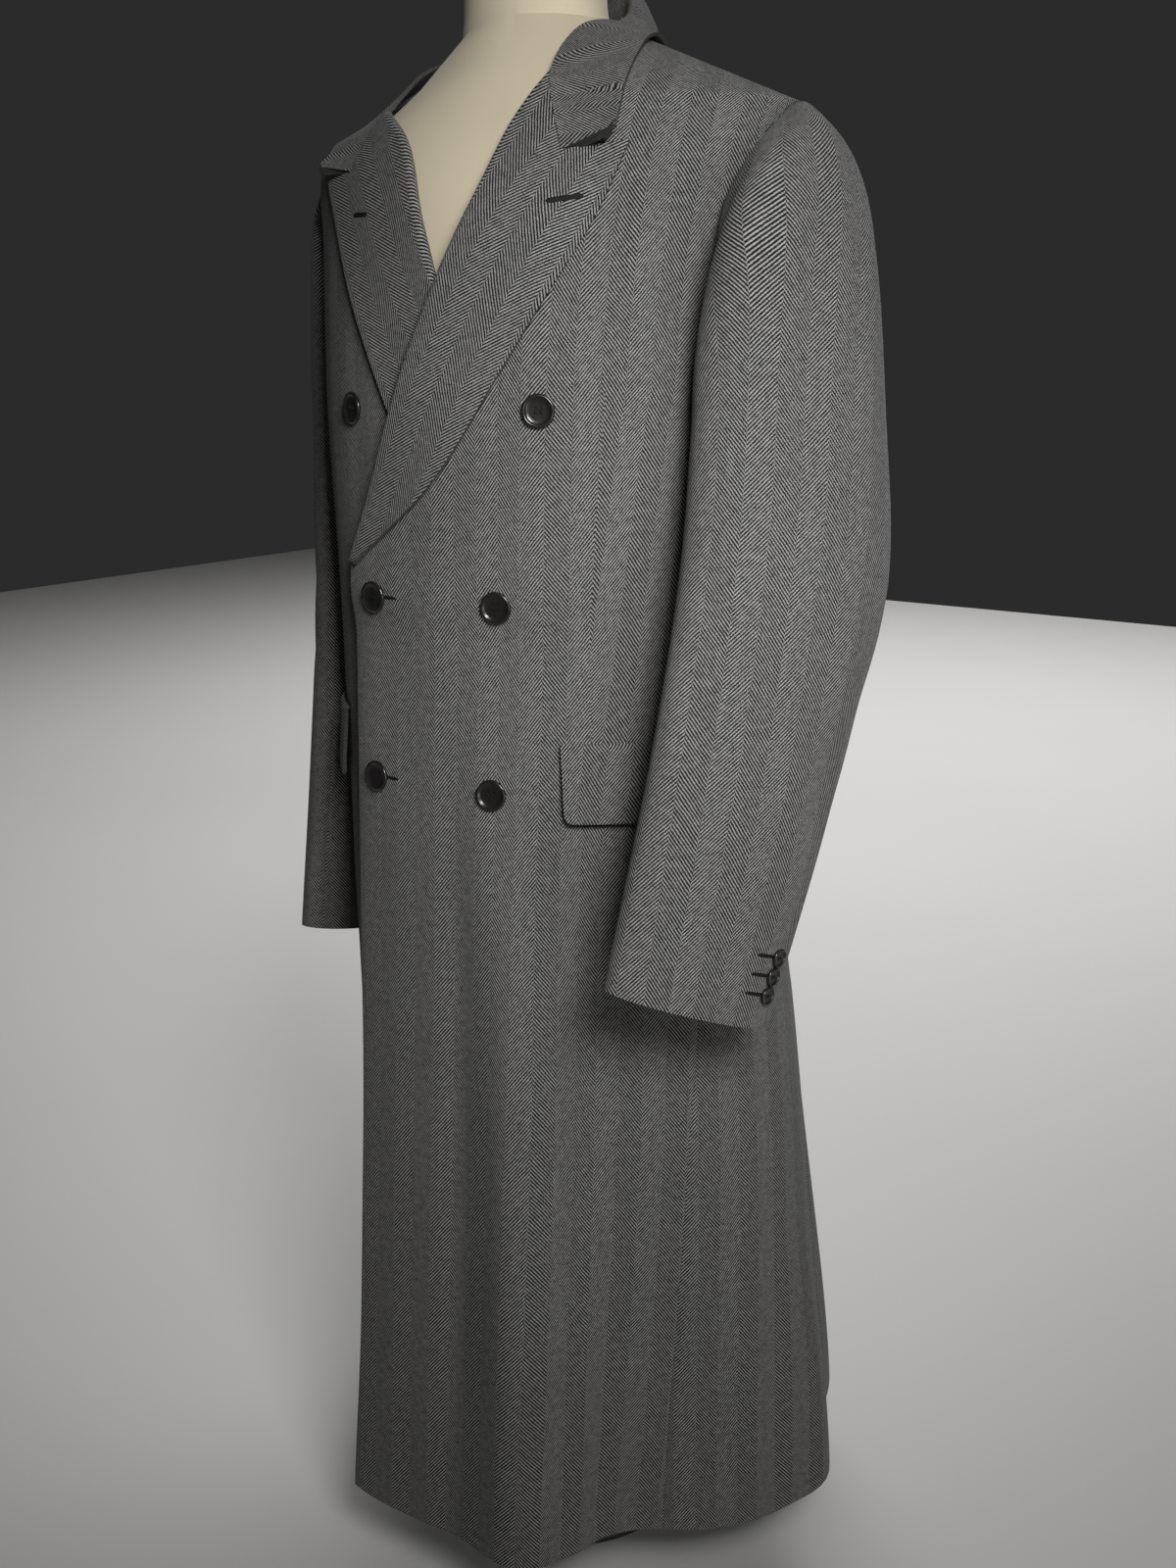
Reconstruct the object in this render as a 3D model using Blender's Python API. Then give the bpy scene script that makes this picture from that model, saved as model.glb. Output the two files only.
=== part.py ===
"""Double-breasted overcoat on a limbless dress form.

Metres, +Z up, floor at z = 0, front towards -Y, the wearer's left towards +X.
"""
import math
from collections import namedtuple

import bmesh
import bpy
import numpy as np
from mathutils import Vector
from mathutils.bvhtree import BVHTree

# Cloth
CLOTH = 0.0024
DOUBLE_CLOTH = 0.0030
GAP = 0.0003
SEAM_HALF = 0.00018
LAID_GAP = 0.0007
SEAT_GAP = 0.0004

# Coat body: level sections from the hem to the shoulder tips, front and back are reaches from y = 0
HEM_Z = 0.100
TIP_X = 0.234
TIP_Z = 1.3525
SHOULDER_SLOPE = 0.4135
Section = namedtuple("Section", "z half_width front back shift set_back")
BODY_SECTIONS = (
    Section(0.100, 0.260, 0.197, 0.280, 0.018, 0.0),
    Section(0.415, 0.248, 0.181, 0.236, 0.017, 0.0),
    Section(0.665, 0.227, 0.167, 0.196, 0.012, 0.0),
    Section(0.815, 0.204, 0.161, 0.174, 0.005, 0.0),
    Section(0.965, 0.194, 0.1556, 0.140, 0.0, 0.0),
    Section(1.115, 0.200, 0.154, 0.150, 0.0, 0.0),
    Section(1.195, 0.205, 0.149, 0.157, 0.0, 0.006),
    Section(1.265, 0.214, 0.137, 0.155, 0.0, 0.014),
    Section(1.310, 0.226, 0.123, 0.144, 0.0, 0.019),
    Section(TIP_Z, TIP_X, 0.104, 0.124, 0.0, 0.022),
)
# Reaches above the tips, where the shoulder line sets the half width
Shoulder = namedtuple("Shoulder", "z front back")
SHOULDER_SECTIONS = (
    Shoulder(1.375, 0.093, 0.108),
    Shoulder(1.395, 0.080, 0.095),
    Shoulder(1.410, 0.071, 0.086),
    Shoulder(1.425, 0.061, 0.077),
    Shoulder(1.445, 0.044, 0.058),
)
# Soft flutes of the skirt: a swell is a share of the section at the hem. The left-hand pieces
# and the right-hand pieces hang in their own flutes and share those of the back.
Fold = namedtuple("Fold", "angle spread swell top")
BACK_FOLDS = (
    Fold(113.0, 14.0, 0.045, 0.765),
    Fold(146.0, 14.0, 0.160, 0.645),
    Fold(-146.0, 14.0, 0.160, 0.645),
)
LEFT_FOLDS = BACK_FOLDS + (
    Fold(-23.0, 11.0, 0.040, 0.665),
    Fold(23.0, 9.0, 0.115, 0.665),
    Fold(50.0, 17.0, -0.195, 0.765),
)
RIGHT_FOLDS = BACK_FOLDS + (
    Fold(-52.0, 18.0, -0.240, 1.100),
    Fold(-84.0, 24.0, -0.100, 1.000),
)

# The wearer's right shoulder and sleeve hang lower
Drop = namedtuple("Drop", "fall start_x full_x start_z full_z")
ARM_DROP = Drop(0.014, 0.050, TIP_X, 0.850, 1.160)
CREST_DROP = Drop(0.028, -0.030, 0.150, 1.300, 1.400)
CREST_FADE_Z = 1.430
CREST_END_Z = 1.475

# Armholes and seams, as degrees round the body from the front centre
ARMHOLE_ANGLE = 95.0
ARMHOLE_HALF_ANGLE = 24.0
ARMHOLE_HALF_HEIGHT = 0.09375
ARMHOLE_Z = TIP_Z - ARMHOLE_HALF_HEIGHT
ARMHOLE_FOOT = 47.5
FOOT_Z = ARMHOLE_Z - ARMHOLE_HALF_HEIGHT * math.sin(math.radians(ARMHOLE_FOOT))
FOOT_REACH = ARMHOLE_HALF_ANGLE * math.cos(math.radians(ARMHOLE_FOOT))
Seam = namedtuple("Seam", "z angle")
FRONT_SEAM = (Seam(HEM_Z, 58.5), Seam(0.300, 60.0), Seam(0.500, 61.6), Seam(0.615, 64.6),
              Seam(0.965, 70.0), Seam(FOOT_Z, ARMHOLE_ANGLE - FOOT_REACH))
BACK_SEAM = (Seam(HEM_Z, 124.0), Seam(0.615, 122.0), Seam(0.965, 117.0),
             Seam(FOOT_Z, ARMHOLE_ANGLE + FOOT_REACH))

# Front edge, lapels and neck
Edge = namedtuple("Edge", "z x")
BREAK_Z = 0.983
EDGE_X = 0.0780
FRONT_EDGE = (Edge(HEM_Z, 0.0770), Edge(0.300, 0.0690), Edge(0.480, 0.0700), Edge(0.700, 0.0765),
              Edge(BREAK_Z, EDGE_X))
Outline = namedtuple("Outline", "x z")
ROLL_LINES = {
    1: (Outline(-0.0800, BREAK_Z), Outline(-0.0170, 1.133), Outline(0.0220, 1.215),
        Outline(0.0470, 1.275), Outline(0.0620, 1.325), Outline(0.0820, 1.365)),
    -1: (Outline(-0.0800, BREAK_Z), Outline(-0.0330, 1.133), Outline(-0.0090, 1.215),
         Outline(0.0120, 1.263), Outline(0.0360, 1.315), Outline(0.0820, 1.365)),
}
LAPEL_EDGES = {
    1: (Outline(-0.0800, BREAK_Z), Outline(0.0160, 1.063), Outline(0.0710, 1.144),
        Outline(0.1090, 1.214), Outline(0.1370, 1.274), Outline(0.1510, 1.317)),
    -1: (Outline(-0.0800, BREAK_Z), Outline(0.0000, 1.063), Outline(0.0480, 1.144),
         Outline(0.0880, 1.214), Outline(0.1210, 1.274), Outline(0.1490, 1.317)),
}
NOTCH = Outline(0.1040, 1.310)
NECK_SIDE_Z = 1.4185
NECK_BEND = 0.012
NAPE_Z = 1.431
ROLL_SET_IN = 0.0015
ROLL_JOIN_Z = BREAK_Z + 0.03
NOTCH_SHARE = 0.5
LAPEL_FOOT = 0.06
ROLL_BULGE = 0.0016
BULGE_START = 0.5
BULGE_FULL = 0.9

# Lap of the left front over the right one
LAP_START_X = 0.140
LAP_FULL_X = 0.095
LAP_LIFT = CLOTH + LAID_GAP
LAP_WHOLE_Z = BREAK_Z + 0.26
LAP_END_Z = BREAK_Z + 0.34
LAPEL_ROOM = DOUBLE_CLOTH + LAID_GAP + 0.0010
ROOM_START_Z = BREAK_Z - 0.05
ROOM_FULL_Z = BREAK_Z - 0.01
EDGE_LIFT = 0.0060
EDGE_LIFT_START_X = 0.060
EDGE_LIFT_WHOLE_Z = BREAK_Z - 0.02
EDGE_LIFT_END_Z = BREAK_Z + 0.08

# Centre vent of the back
VENT_TOP = 0.652
VENT_UNDERLAP = 0.045
VENT_WHOLE_Z = VENT_TOP - 0.06
VENT_LIFT = CLOTH + 0.0025
VENT_LIFT_START_Z = VENT_TOP + 0.10
VENT_LIFT_START = math.radians(150.0)
VENT_LIFT_FULL = math.radians(163.0)

# Collar stations from the notch to the centre back
Station = namedtuple("Station", "seam_x seam_y seam_z stand fall_x fall_y fall_z")
COLLAR_STATIONS = (
    Station(0.1075, -0.1114, 1.3128, 0.0000, 0.1460, -0.1000, 1.3270),
    Station(0.0960, -0.1045, 1.3406, 0.0000, 0.1490, -0.0780, 1.3510),
    Station(0.0845, -0.0920, 1.3705, 0.0000, 0.1430, -0.0500, 1.3730),
    Station(0.0735, -0.0350, 1.4060, 0.0060, 0.1220, -0.0080, 1.4020),
    Station(0.0730, 0.0180, 1.4210, 0.0130, 0.1010, 0.0350, 1.4100),
    Station(0.0540, 0.0580, 1.4330, 0.0290, 0.0740, 0.0930, 1.3980),
    Station(0.0000, 0.0760, 1.4370, 0.0350, 0.0000, 0.1180, 1.3940),
)
FULL_STAND = 0.035
STAND_POWER = 0.6
INNER_PULL = 1.5
INNER_LEAN = 0.004
OUTER_PULL = 1.68
OUTER_LEAN = 0.012
COLLAR_CLEAR = 0.0015

# Sleeves: rings from the cap to the cuff, front_half and out_half are half sizes,
# lift turns the outer side up, lean raises the front, twist turns the front edge inwards
Ring = namedtuple("Ring", "x y z front_half out_half lift lean twist")
LEFT_RINGS = (
    Ring(0.2400, 0.018, 1.250, 0.072, 0.082, 70.0, 4.0, 8.0),
    Ring(0.2488, 0.002, 1.219, 0.081, 0.060, 45.0, 5.0, 16.0),
    Ring(0.2545, -0.009, 1.130, 0.0865, 0.048, 18.0, 7.0, 28.0),
    Ring(0.2678, -0.0325, 0.996, 0.0945, 0.046, 4.0, 12.0, 30.0),
    Ring(0.2669, -0.0965, 0.832, 0.085, 0.039, 0.0, 20.0, 30.0),
    Ring(0.2556, -0.1540, 0.666, 0.0760, 0.028, 0.0, 26.0, 30.0),
)
RIGHT_RINGS = (
    Ring(0.2250, 0.024, 1.252, 0.070, 0.080, 76.0, 3.0, 6.0),
    Ring(0.2280, 0.040, 1.212, 0.070, 0.047, 60.0, 3.0, 8.0),
    Ring(0.2430, 0.052, 1.130, 0.078, 0.036, 15.0, 3.0, 10.0),
    Ring(0.2450, 0.052, 0.995, 0.082, 0.036, 3.0, 5.0, 10.0),
    Ring(0.2550, 0.045, 0.820, 0.079, 0.035, 0.0, 10.0, 10.0),
    Ring(0.2680, 0.022, 0.588, 0.074, 0.033, 0.0, 15.0, 12.0),
)
SLEEVE_SEAM_TURN = 20.0
SEAM_HALF_TURN = 0.13
SLEEVE_SET_IN = 0.014
SLEEVE_STEP = 0.0012
SLEEVE_KEYS = (0.0, 0.16, 0.7, 1.3, 2.2, 3.4, 4.9, 6.4)

# Pocket flaps
FLAP_FRONT_X = 0.121
FLAP_LENGTH = 0.165
FLAP_TOP_Z = 0.857
FLAP_DEPTH = 0.066
FLAP_GAP = 0.0011

# Buttons
FRONT_BUTTON_RADIUS = 0.01325
FRONT_BUTTON_THICK = 0.0040
CUFF_BUTTON_RADIUS = 0.0078
CUFF_BUTTON_THICK = 0.0030
FRONT_BUTTON_SIDES = 20
CUFF_BUTTON_SIDES = 16
ButtonLine = namedtuple("ButtonLine", "radius_share thick_share")
BUTTON_PROFILE = (
    ButtonLine(0.00, 0.00),
    ButtonLine(0.78, 0.00),
    ButtonLine(1.00, 0.35),
    ButtonLine(1.00, 0.70),
    ButtonLine(0.93, 1.00),
    ButtonLine(0.84, 1.00),
    ButtonLine(0.62, 0.62),
    ButtonLine(0.00, 0.55),
)
ButtonRow = namedtuple("ButtonRow", "name left_x right_x z")
BUTTON_ROWS = (
    ButtonRow("top", 0.1010, -0.0850, 1.1205),
    ButtonRow("middle", 0.0690, -0.0460, 0.9670),
    ButtonRow("bottom", 0.0670, -0.0490, 0.8115),
)
CUFF_BUTTON_HEIGHTS = (0.0266, 0.0416, 0.0566)
CUFF_BUTTON_TURN = 134.0

# Dress form
FormLevel = namedtuple("FormLevel", "z clear")
FORM_LEVELS = (
    FormLevel(0.705, 0.040),
    FormLevel(0.725, 0.028),
    FormLevel(0.765, 0.021),
    FormLevel(0.845, 0.017),
    FormLevel(0.925, 0.015),
    FormLevel(1.005, 0.014),
    FormLevel(1.085, 0.013),
    FormLevel(1.155, 0.012),
    FormLevel(1.215, 0.010),
    FormLevel(1.265, 0.008),
    FormLevel(1.310, 0.005),
    FormLevel(1.342, 0.0020),
    FormLevel(1.360, 0.0011),
    FormLevel(1.375, 0.0014),
    FormLevel(1.390, 0.0020),
    FormLevel(1.405, 0.0030),
)
NeckLevel = namedtuple("NeckLevel", "z half_width front back")
NECK_LEVELS = (
    NeckLevel(1.419, 0.0640, 0.0520, 0.0690),
    NeckLevel(1.440, 0.0600, 0.0500, 0.0660),
    NeckLevel(1.477, 0.0585, 0.0490, 0.0640),
    NeckLevel(1.495, 0.0570, 0.0475, 0.0625),
)
FORM_SIDES = 40
CAP_HEIGHT = 0.012
CAP_RADIUS = 0.046
CAP_EDGE = 0.004
CAP_SIDES = 32
POLE_RADIUS = 0.0125
POLE_SIDES = 24
STAND_BACK = 0.050
BASE_RADIUS = 0.135
BASE_HEIGHT = 0.022
BASE_EDGE = 0.006
BASE_SIDES = 48

# Mesh fineness
SKIRT_ROWS = 8
CHEST_ROWS = 5
FRONT_COLUMNS = 14
FRONT_LEGS = (SKIRT_ROWS, CHEST_ROWS, 6, 6)
SIDE_COLUMNS = 5
BACK_COLUMNS = 9
BACK_LEGS = (SKIRT_ROWS, CHEST_ROWS, 6, 5)
LAPEL_COLUMNS = 6
LAPEL_ROWS = 12
COLLAR_STEPS = 12
COLLAR_COLUMNS = 7
SLEEVE_ROWS = 15
TOP_SLEEVE_COLUMNS = 9
UNDER_SLEEVE_COLUMNS = 6
FLAP_ROWS = 2
FLAP_COLUMNS = 16
SEAT_SPOTS = 16


def clear_scene():
    for old in list(bpy.data.objects):
        bpy.data.objects.remove(old, do_unlink=True)


def material(name, colour, roughness, metallic=0.0):
    made = bpy.data.materials.new(name)
    made.use_nodes = True
    shader = made.node_tree.nodes["Principled BSDF"]
    shader.inputs["Base Color"].default_value = (*colour, 1.0)
    shader.inputs["Roughness"].default_value = roughness
    shader.inputs["Metallic"].default_value = metallic
    return made


# Smooth reading of the tables

def smooth(keys, values, at):
    """Shape-keeping cubic through the rows of a table."""
    keys = np.asarray(keys, float)
    values = np.asarray(values, float)
    at = min(max(at, keys[0]), keys[-1])
    step = np.diff(keys)
    rise = np.diff(values) / step
    slope = np.empty(len(keys))
    slope[0] = rise[0]
    slope[-1] = rise[-1]
    for i in range(1, len(keys) - 1):
        if rise[i - 1] * rise[i] <= 0.0:
            slope[i] = 0.0
        else:
            before = 2.0 * step[i] + step[i - 1]
            after = step[i] + 2.0 * step[i - 1]
            slope[i] = (before + after) / (before / rise[i - 1] + after / rise[i])
    i = int(min(np.searchsorted(keys, at, side="right") - 1, len(step) - 1))
    u = (at - keys[i]) / step[i]
    return ((1 + 2 * u) * (1 - u) ** 2 * values[i]
            + u * (1 - u) ** 2 * step[i] * slope[i]
            + u * u * (3 - 2 * u) * values[i + 1]
            + u * u * (u - 1) * step[i] * slope[i + 1])


def column(table, name):
    return [getattr(row, name) for row in table]


def ease(start, end, at):
    """0 at start, 1 at end, level at both."""
    u = min(max((at - start) / (end - start), 0.0), 1.0)
    return u * u * (3.0 - 2.0 * u)


# The coat's outer surface

def half_width(z):
    if z <= TIP_Z:
        return smooth(column(BODY_SECTIONS, "z"), column(BODY_SECTIONS, "half_width"), z)
    return TIP_X - (z - TIP_Z) / SHOULDER_SLOPE


def reach(z, side):
    levels = column(BODY_SECTIONS, "z") + column(SHOULDER_SECTIONS, "z")
    reaches = column(BODY_SECTIONS, side) + column(SHOULDER_SECTIONS, side)
    return smooth(levels, reaches, z)


def body_column(name, z):
    return smooth(column(BODY_SECTIONS, "z"), column(BODY_SECTIONS, name), z)


def depth(z, side):
    """Half depth of a section on this side of its widest line."""
    if side == "front":
        return reach(z, side) + body_column("set_back", z)
    return reach(z, side) - body_column("set_back", z)


def swell(angle, z, side):
    turned = (math.degrees(angle) + 180.0) % 360.0 - 180.0
    total = 1.0
    for fold in LEFT_FOLDS if side > 0 else RIGHT_FOLDS:
        off = (turned - fold.angle) / fold.spread
        total += fold.swell * ease(fold.top, HEM_Z, z) * math.exp(-0.5 * off * off)
    return total


def plain_point(angle, z):
    """Point of the section without flutes."""
    half = "front" if math.cos(angle) > 0.0 else "back"
    return Vector((body_column("shift", z) + half_width(z) * math.sin(angle),
                   body_column("set_back", z) - depth(z, half) * math.cos(angle), z))


def body_point(angle, z, side):
    middle = Vector((body_column("shift", z), body_column("set_back", z), z))
    return middle + (plain_point(angle, z) - middle) * swell(angle, z, side)


def normal_of(point_at, angle, z):
    turn = 0.002
    climb = 0.0006
    across = point_at(angle + turn, z) - point_at(angle - turn, z)
    up = point_at(angle, z + climb) - point_at(angle, z - climb)
    return across.cross(up).normalized()


def body_normal(angle, z, side):
    return normal_of(lambda a, b: body_point(a, b, side), angle, z)


def angle_at(x, z, side):
    """Angle on the front half at which the surface stands at this x."""
    shift = body_column("shift", z)
    wide = half_width(z)
    passes = 25
    pull = 0.6
    angle = 0.0
    for _ in range(passes):
        share = (x - shift) / (wide * swell(angle, z, side))
        angle += pull * (math.asin(min(max(share, -1.0), 1.0)) - angle)
    return angle


def seam_angle(seam, z):
    return math.radians(smooth(column(seam, "z"), column(seam, "angle"), z))


def armhole(turn, scale=1.0):
    """Armhole line on the body: turn 0 is its front, 90 its top, 180 its back, 270 its foot."""
    turn = math.radians(turn)
    angle = ARMHOLE_ANGLE - ARMHOLE_HALF_ANGLE * scale * math.cos(turn)
    return math.radians(angle), ARMHOLE_Z + ARMHOLE_HALF_HEIGHT * scale * math.sin(turn)


def lap(x, z):
    """How far the left front stands out over the right front and its lapel."""
    share = ease(LAP_START_X, LAP_FULL_X, x) * ease(LAP_END_Z, LAP_WHOLE_Z, z)
    room = LAPEL_ROOM * ease(ROOM_START_Z, ROOM_FULL_Z, z)
    lift = EDGE_LIFT * ease(EDGE_LIFT_START_X, -EDGE_X, x) * ease(EDGE_LIFT_END_Z, EDGE_LIFT_WHOLE_Z, z)
    return share * (LAP_LIFT + room) + lift


def front_out(side, x, z):
    return lap(x, z) if side > 0 else 0.0


def front_place(side, x, z, out=0.0):
    """Point of a front's outer face at this x and height, moved out."""
    angle = angle_at(x, z, side)
    return body_point(angle, z, side) + body_normal(angle, z, side) * (front_out(side, x, z) + out)


def front_normal(side, x, z):
    reach = 0.004
    across = front_place(side, x + reach, z) - front_place(side, x - reach, z)
    up = front_place(side, x, z + reach) - front_place(side, x, z - reach)
    return across.cross(up).normalized()


# Walls

def wall(name, faces_out, normals, thickness, finish):
    """Closed cloth wall: a grid of outer points and its inner copy, joined round the rim."""
    rows = len(faces_out)
    columns = len(faces_out[0])
    mesh = bpy.data.meshes.new(name)
    bm = bmesh.new()
    outer = [[bm.verts.new(point) for point in row] for row in faces_out]
    inner = [[bm.verts.new(point - normal * thickness) for point, normal in zip(row, lean)]
             for row, lean in zip(faces_out, normals)]
    for i in range(rows - 1):
        for j in range(columns - 1):
            bm.faces.new((outer[i][j], outer[i][j + 1], outer[i + 1][j + 1], outer[i + 1][j]))
            bm.faces.new((inner[i + 1][j], inner[i + 1][j + 1], inner[i][j + 1], inner[i][j]))
    rim = [(0, j) for j in range(columns)]
    rim += [(i, columns - 1) for i in range(1, rows)]
    rim += [(rows - 1, j) for j in range(columns - 2, -1, -1)]
    rim += [(i, 0) for i in range(rows - 2, 0, -1)]
    for (i, j), (k, m) in zip(rim, rim[1:] + rim[:1]):
        bm.faces.new((outer[k][m], outer[i][j], inner[i][j], inner[k][m]))
    return finish_mesh(name, bm, mesh, finish)


FACETS = {}


def hang(x, z, on_sleeve):
    """How far a point of the coat or form hangs lower on the wearer's right."""
    arm = ARM_DROP.fall * ease(ARM_DROP.start_x, ARM_DROP.full_x, -x)
    if not on_sleeve:
        arm *= ease(ARM_DROP.start_z, ARM_DROP.full_z, z)
    crest = CREST_DROP.fall * ease(CREST_DROP.start_x, CREST_DROP.full_x, -x)
    crest *= ease(CREST_DROP.start_z, CREST_DROP.full_z, z) * ease(CREST_END_Z, CREST_FADE_Z, z)
    return arm + crest


def finish_mesh(name, bm, mesh, finish):
    bmesh.ops.remove_doubles(bm, verts=bm.verts, dist=1e-6)
    bmesh.ops.dissolve_degenerate(bm, edges=bm.edges, dist=1e-6)
    bmesh.ops.triangulate(bm, faces=bm.faces)
    bmesh.ops.recalc_face_normals(bm, faces=bm.faces)
    FACETS[name] = BVHTree.FromBMesh(bm)
    on_sleeve = name.startswith(("sleeve", "cuff"))
    for vert in bm.verts:
        vert.co.z -= hang(vert.co.x, vert.co.z, on_sleeve)
        vert.co.y -= STAND_BACK
    bm.to_mesh(mesh)
    bm.free()
    made = bpy.data.objects.new(name, mesh)
    mesh.materials.append(finish)
    bpy.context.scene.collection.objects.link(made)
    return made


def rise(carriers, point, normal):
    """Height of the carriers' facets over a point, along the normal; 0 where there is none."""
    far = 0.030
    found = [FACETS[name].ray_cast(point + normal * far, -normal, 2.0 * far) for name in carriers]
    return max([far - hit[3] for hit in found if hit[3] is not None], default=0.0)


def seat(carriers, point, normal, radius):
    """Place along the normal at which a disc just clears the carriers' facets."""
    turn = normal.to_track_quat("Z", "Y").to_matrix()
    spots = [point]
    for far in (0.5 * radius, radius):
        for k in range(SEAT_SPOTS):
            angle = math.tau * k / SEAT_SPOTS
            spots.append(point + turn @ Vector((far * math.cos(angle), far * math.sin(angle), 0.0)))
    top = max(rise(carriers, spot, normal) for spot in spots)
    return point + normal * (top + SEAT_GAP)


def grid_normals(grid):
    """Normals of a grid by differences along its rows and columns."""
    rows = len(grid)
    columns = len(grid[0])
    normals = []
    for i in range(rows):
        line = []
        for j in range(columns):
            across = grid[i][min(j + 1, columns - 1)] - grid[i][max(j - 1, 0)]
            up = grid[min(i + 1, rows - 1)][j] - grid[max(i - 1, 0)][j]
            line.append(across.cross(up).normalized())
        normals.append(line)
    return normals


def mix(a, b, share):
    return a + (b - a) * share


def leg_rows(legs):
    """Row positions: whole numbers are the key rows, legs gives the rows between them."""
    places = [0.0]
    for leg, count in enumerate(legs):
        places += [leg + (i + 1) / count for i in range(count)]
    return places


def panel(name, side, ends, columns, out_of, finish):
    """Body panel between two lists of (angle, z) ends, given for the wearer's left side."""
    points = []
    normals = []
    for (angle_a, z_a), (angle_b, z_b) in ends:
        row = []
        lean = []
        for j in range(columns + 1):
            share = j / columns
            angle = side * mix(angle_a, angle_b, share)
            z = mix(z_a, z_b, share)
            normal = body_normal(angle, z, side)
            point = body_point(angle, z, side)
            row.append(point + normal * out_of(angle, point.x, z))
            lean.append(normal)
        if side < 0:
            row.reverse()
            lean.reverse()
        points.append(row)
        normals.append(lean)
    return wall(name, points, normals, CLOTH, finish)


def nudge(angle, z, towards):
    """Move an angle by half a seam gap along the surface."""
    turn = 0.001
    speed = (plain_point(angle + turn, z) - plain_point(angle - turn, z)).length / (2.0 * turn)
    return angle + towards * SEAM_HALF / speed


def seam_level(place):
    """Height of a row at the side seams: 0 is the hem, 1 the break, 2 the armhole's foot."""
    if place <= 1.0:
        return mix(HEM_Z, BREAK_Z, place)
    return mix(BREAK_Z, FOOT_Z, place - 1.0)


# Fronts

def roll_x(side, z):
    return smooth(column(ROLL_LINES[side], "z"), column(ROLL_LINES[side], "x"), z)


def front_inner_end(side, place):
    """Front edge, roll line and neck of a front, as (angle, z) for the wearer's left side."""
    top = ROLL_LINES[side][-1]
    if place <= 1.0:
        z = mix(HEM_Z, BREAK_Z, place)
        edge_x = smooth(column(FRONT_EDGE, "z"), column(FRONT_EDGE, "x"), z)
        return side * angle_at(-side * edge_x, z, side), z
    if place <= 3.0:
        z = mix(BREAK_Z, top.z, (place - 1.0) / 2.0)
        x = mix(-EDGE_X, roll_x(side, z) + ROLL_SET_IN, ease(BREAK_Z, ROLL_JOIN_Z, z))
        return side * angle_at(side * x, z, side), z
    share = place - 3.0
    start = angle_at(top.x + ROLL_SET_IN, top.z, 1)
    bend = NECK_BEND * math.sin(math.pi * share)
    return mix(start, math.pi / 2.0, share), mix(top.z, NECK_SIDE_Z, share) + bend


def front_outer_end(place):
    """Side seam, armhole and shoulder tip of a front."""
    if place <= 2.0:
        z = seam_level(place)
        return seam_angle(FRONT_SEAM, z), z
    return armhole(mix(-ARMHOLE_FOOT, 90.0, (place - 2.0) / 2.0))


def build_front(name, side, finish):
    ends = []
    places = leg_rows(FRONT_LEGS)
    for place in places:
        inner = front_inner_end(side, place)
        angle, z = front_outer_end(place)
        if place <= 2.0:
            angle = nudge(angle, z, -1.0)
        if place == places[-1]:
            inner = (nudge(inner[0], inner[1], -1.0), inner[1])
            angle = nudge(angle, z, -1.0)
        ends.append((inner, (angle, z)))
    return panel(name, side, ends, FRONT_COLUMNS, lambda angle, x, z: front_out(side, x, z), finish)


# Side bodies

def armhole_foot_z(angle):
    """Height of the armhole's lower edge at this angle."""
    share = (math.degrees(angle) - ARMHOLE_ANGLE) / ARMHOLE_HALF_ANGLE
    return ARMHOLE_Z - ARMHOLE_HALF_HEIGHT * math.sqrt(1.0 - share * share)


def build_side(name, side, finish):
    front_foot = armhole(-ARMHOLE_FOOT)[0]
    back_foot = armhole(180.0 + ARMHOLE_FOOT)[0]
    points = []
    normals = []
    for place in leg_rows((SKIRT_ROWS, CHEST_ROWS)):
        climb = (seam_level(place) - HEM_Z) / (FOOT_Z - HEM_Z)
        row = []
        lean = []
        for j in range(SIDE_COLUMNS + 1):
            share = j / SIDE_COLUMNS
            z = mix(HEM_Z, armhole_foot_z(mix(front_foot, back_foot, share)), climb)
            angle = side * mix(nudge(seam_angle(FRONT_SEAM, z), z, 1.0),
                               nudge(seam_angle(BACK_SEAM, z), z, -1.0), share)
            row.append(body_point(angle, z, side))
            lean.append(body_normal(angle, z, side))
        if side < 0:
            row.reverse()
            lean.reverse()
        points.append(row)
        normals.append(lean)
    return wall(name, points, normals, CLOTH, finish)


# Backs

def back_outer_end(place):
    if place <= 2.0:
        z = seam_level(place)
        return seam_angle(BACK_SEAM, z), z
    return armhole(mix(180.0 + ARMHOLE_FOOT, 90.0, (place - 2.0) / 2.0))


def back_inner_end(side, place):
    if place <= 2.0:
        z = seam_level(place)
        angle = nudge(math.pi, z, -1.0)
        if side < 0:
            angle += VENT_UNDERLAP / depth(z, "back") * ease(VENT_TOP, VENT_WHOLE_Z, z)
        return angle, z
    if place <= 3.0:
        z = mix(FOOT_Z, NAPE_Z, place - 2.0)
        return nudge(math.pi, z, -1.0), z
    share = place - 3.0
    return mix(math.pi, math.pi / 2.0, share), mix(NAPE_Z, NECK_SIDE_Z, share)


def vent_out(side):
    def out(angle, x, z):
        if side < 0:
            return 0.0
        near = ease(VENT_LIFT_START, VENT_LIFT_FULL, abs(angle))
        return near * VENT_LIFT * ease(VENT_LIFT_START_Z, VENT_TOP, z)
    return out


def build_back(name, side, finish):
    ends = []
    places = leg_rows(BACK_LEGS)
    for place in places:
        outer = back_outer_end(place)
        inner = back_inner_end(side, place)
        if place <= 2.0:
            outer = (nudge(outer[0], outer[1], 1.0), outer[1])
        if place == places[-1]:
            outer = (nudge(outer[0], outer[1], 1.0), outer[1])
            inner = (nudge(inner[0], inner[1], 1.0), inner[1])
        ends.append((outer, inner))
    return panel(name, side, ends, BACK_COLUMNS, vent_out(side), finish)


# Lapels

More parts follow.
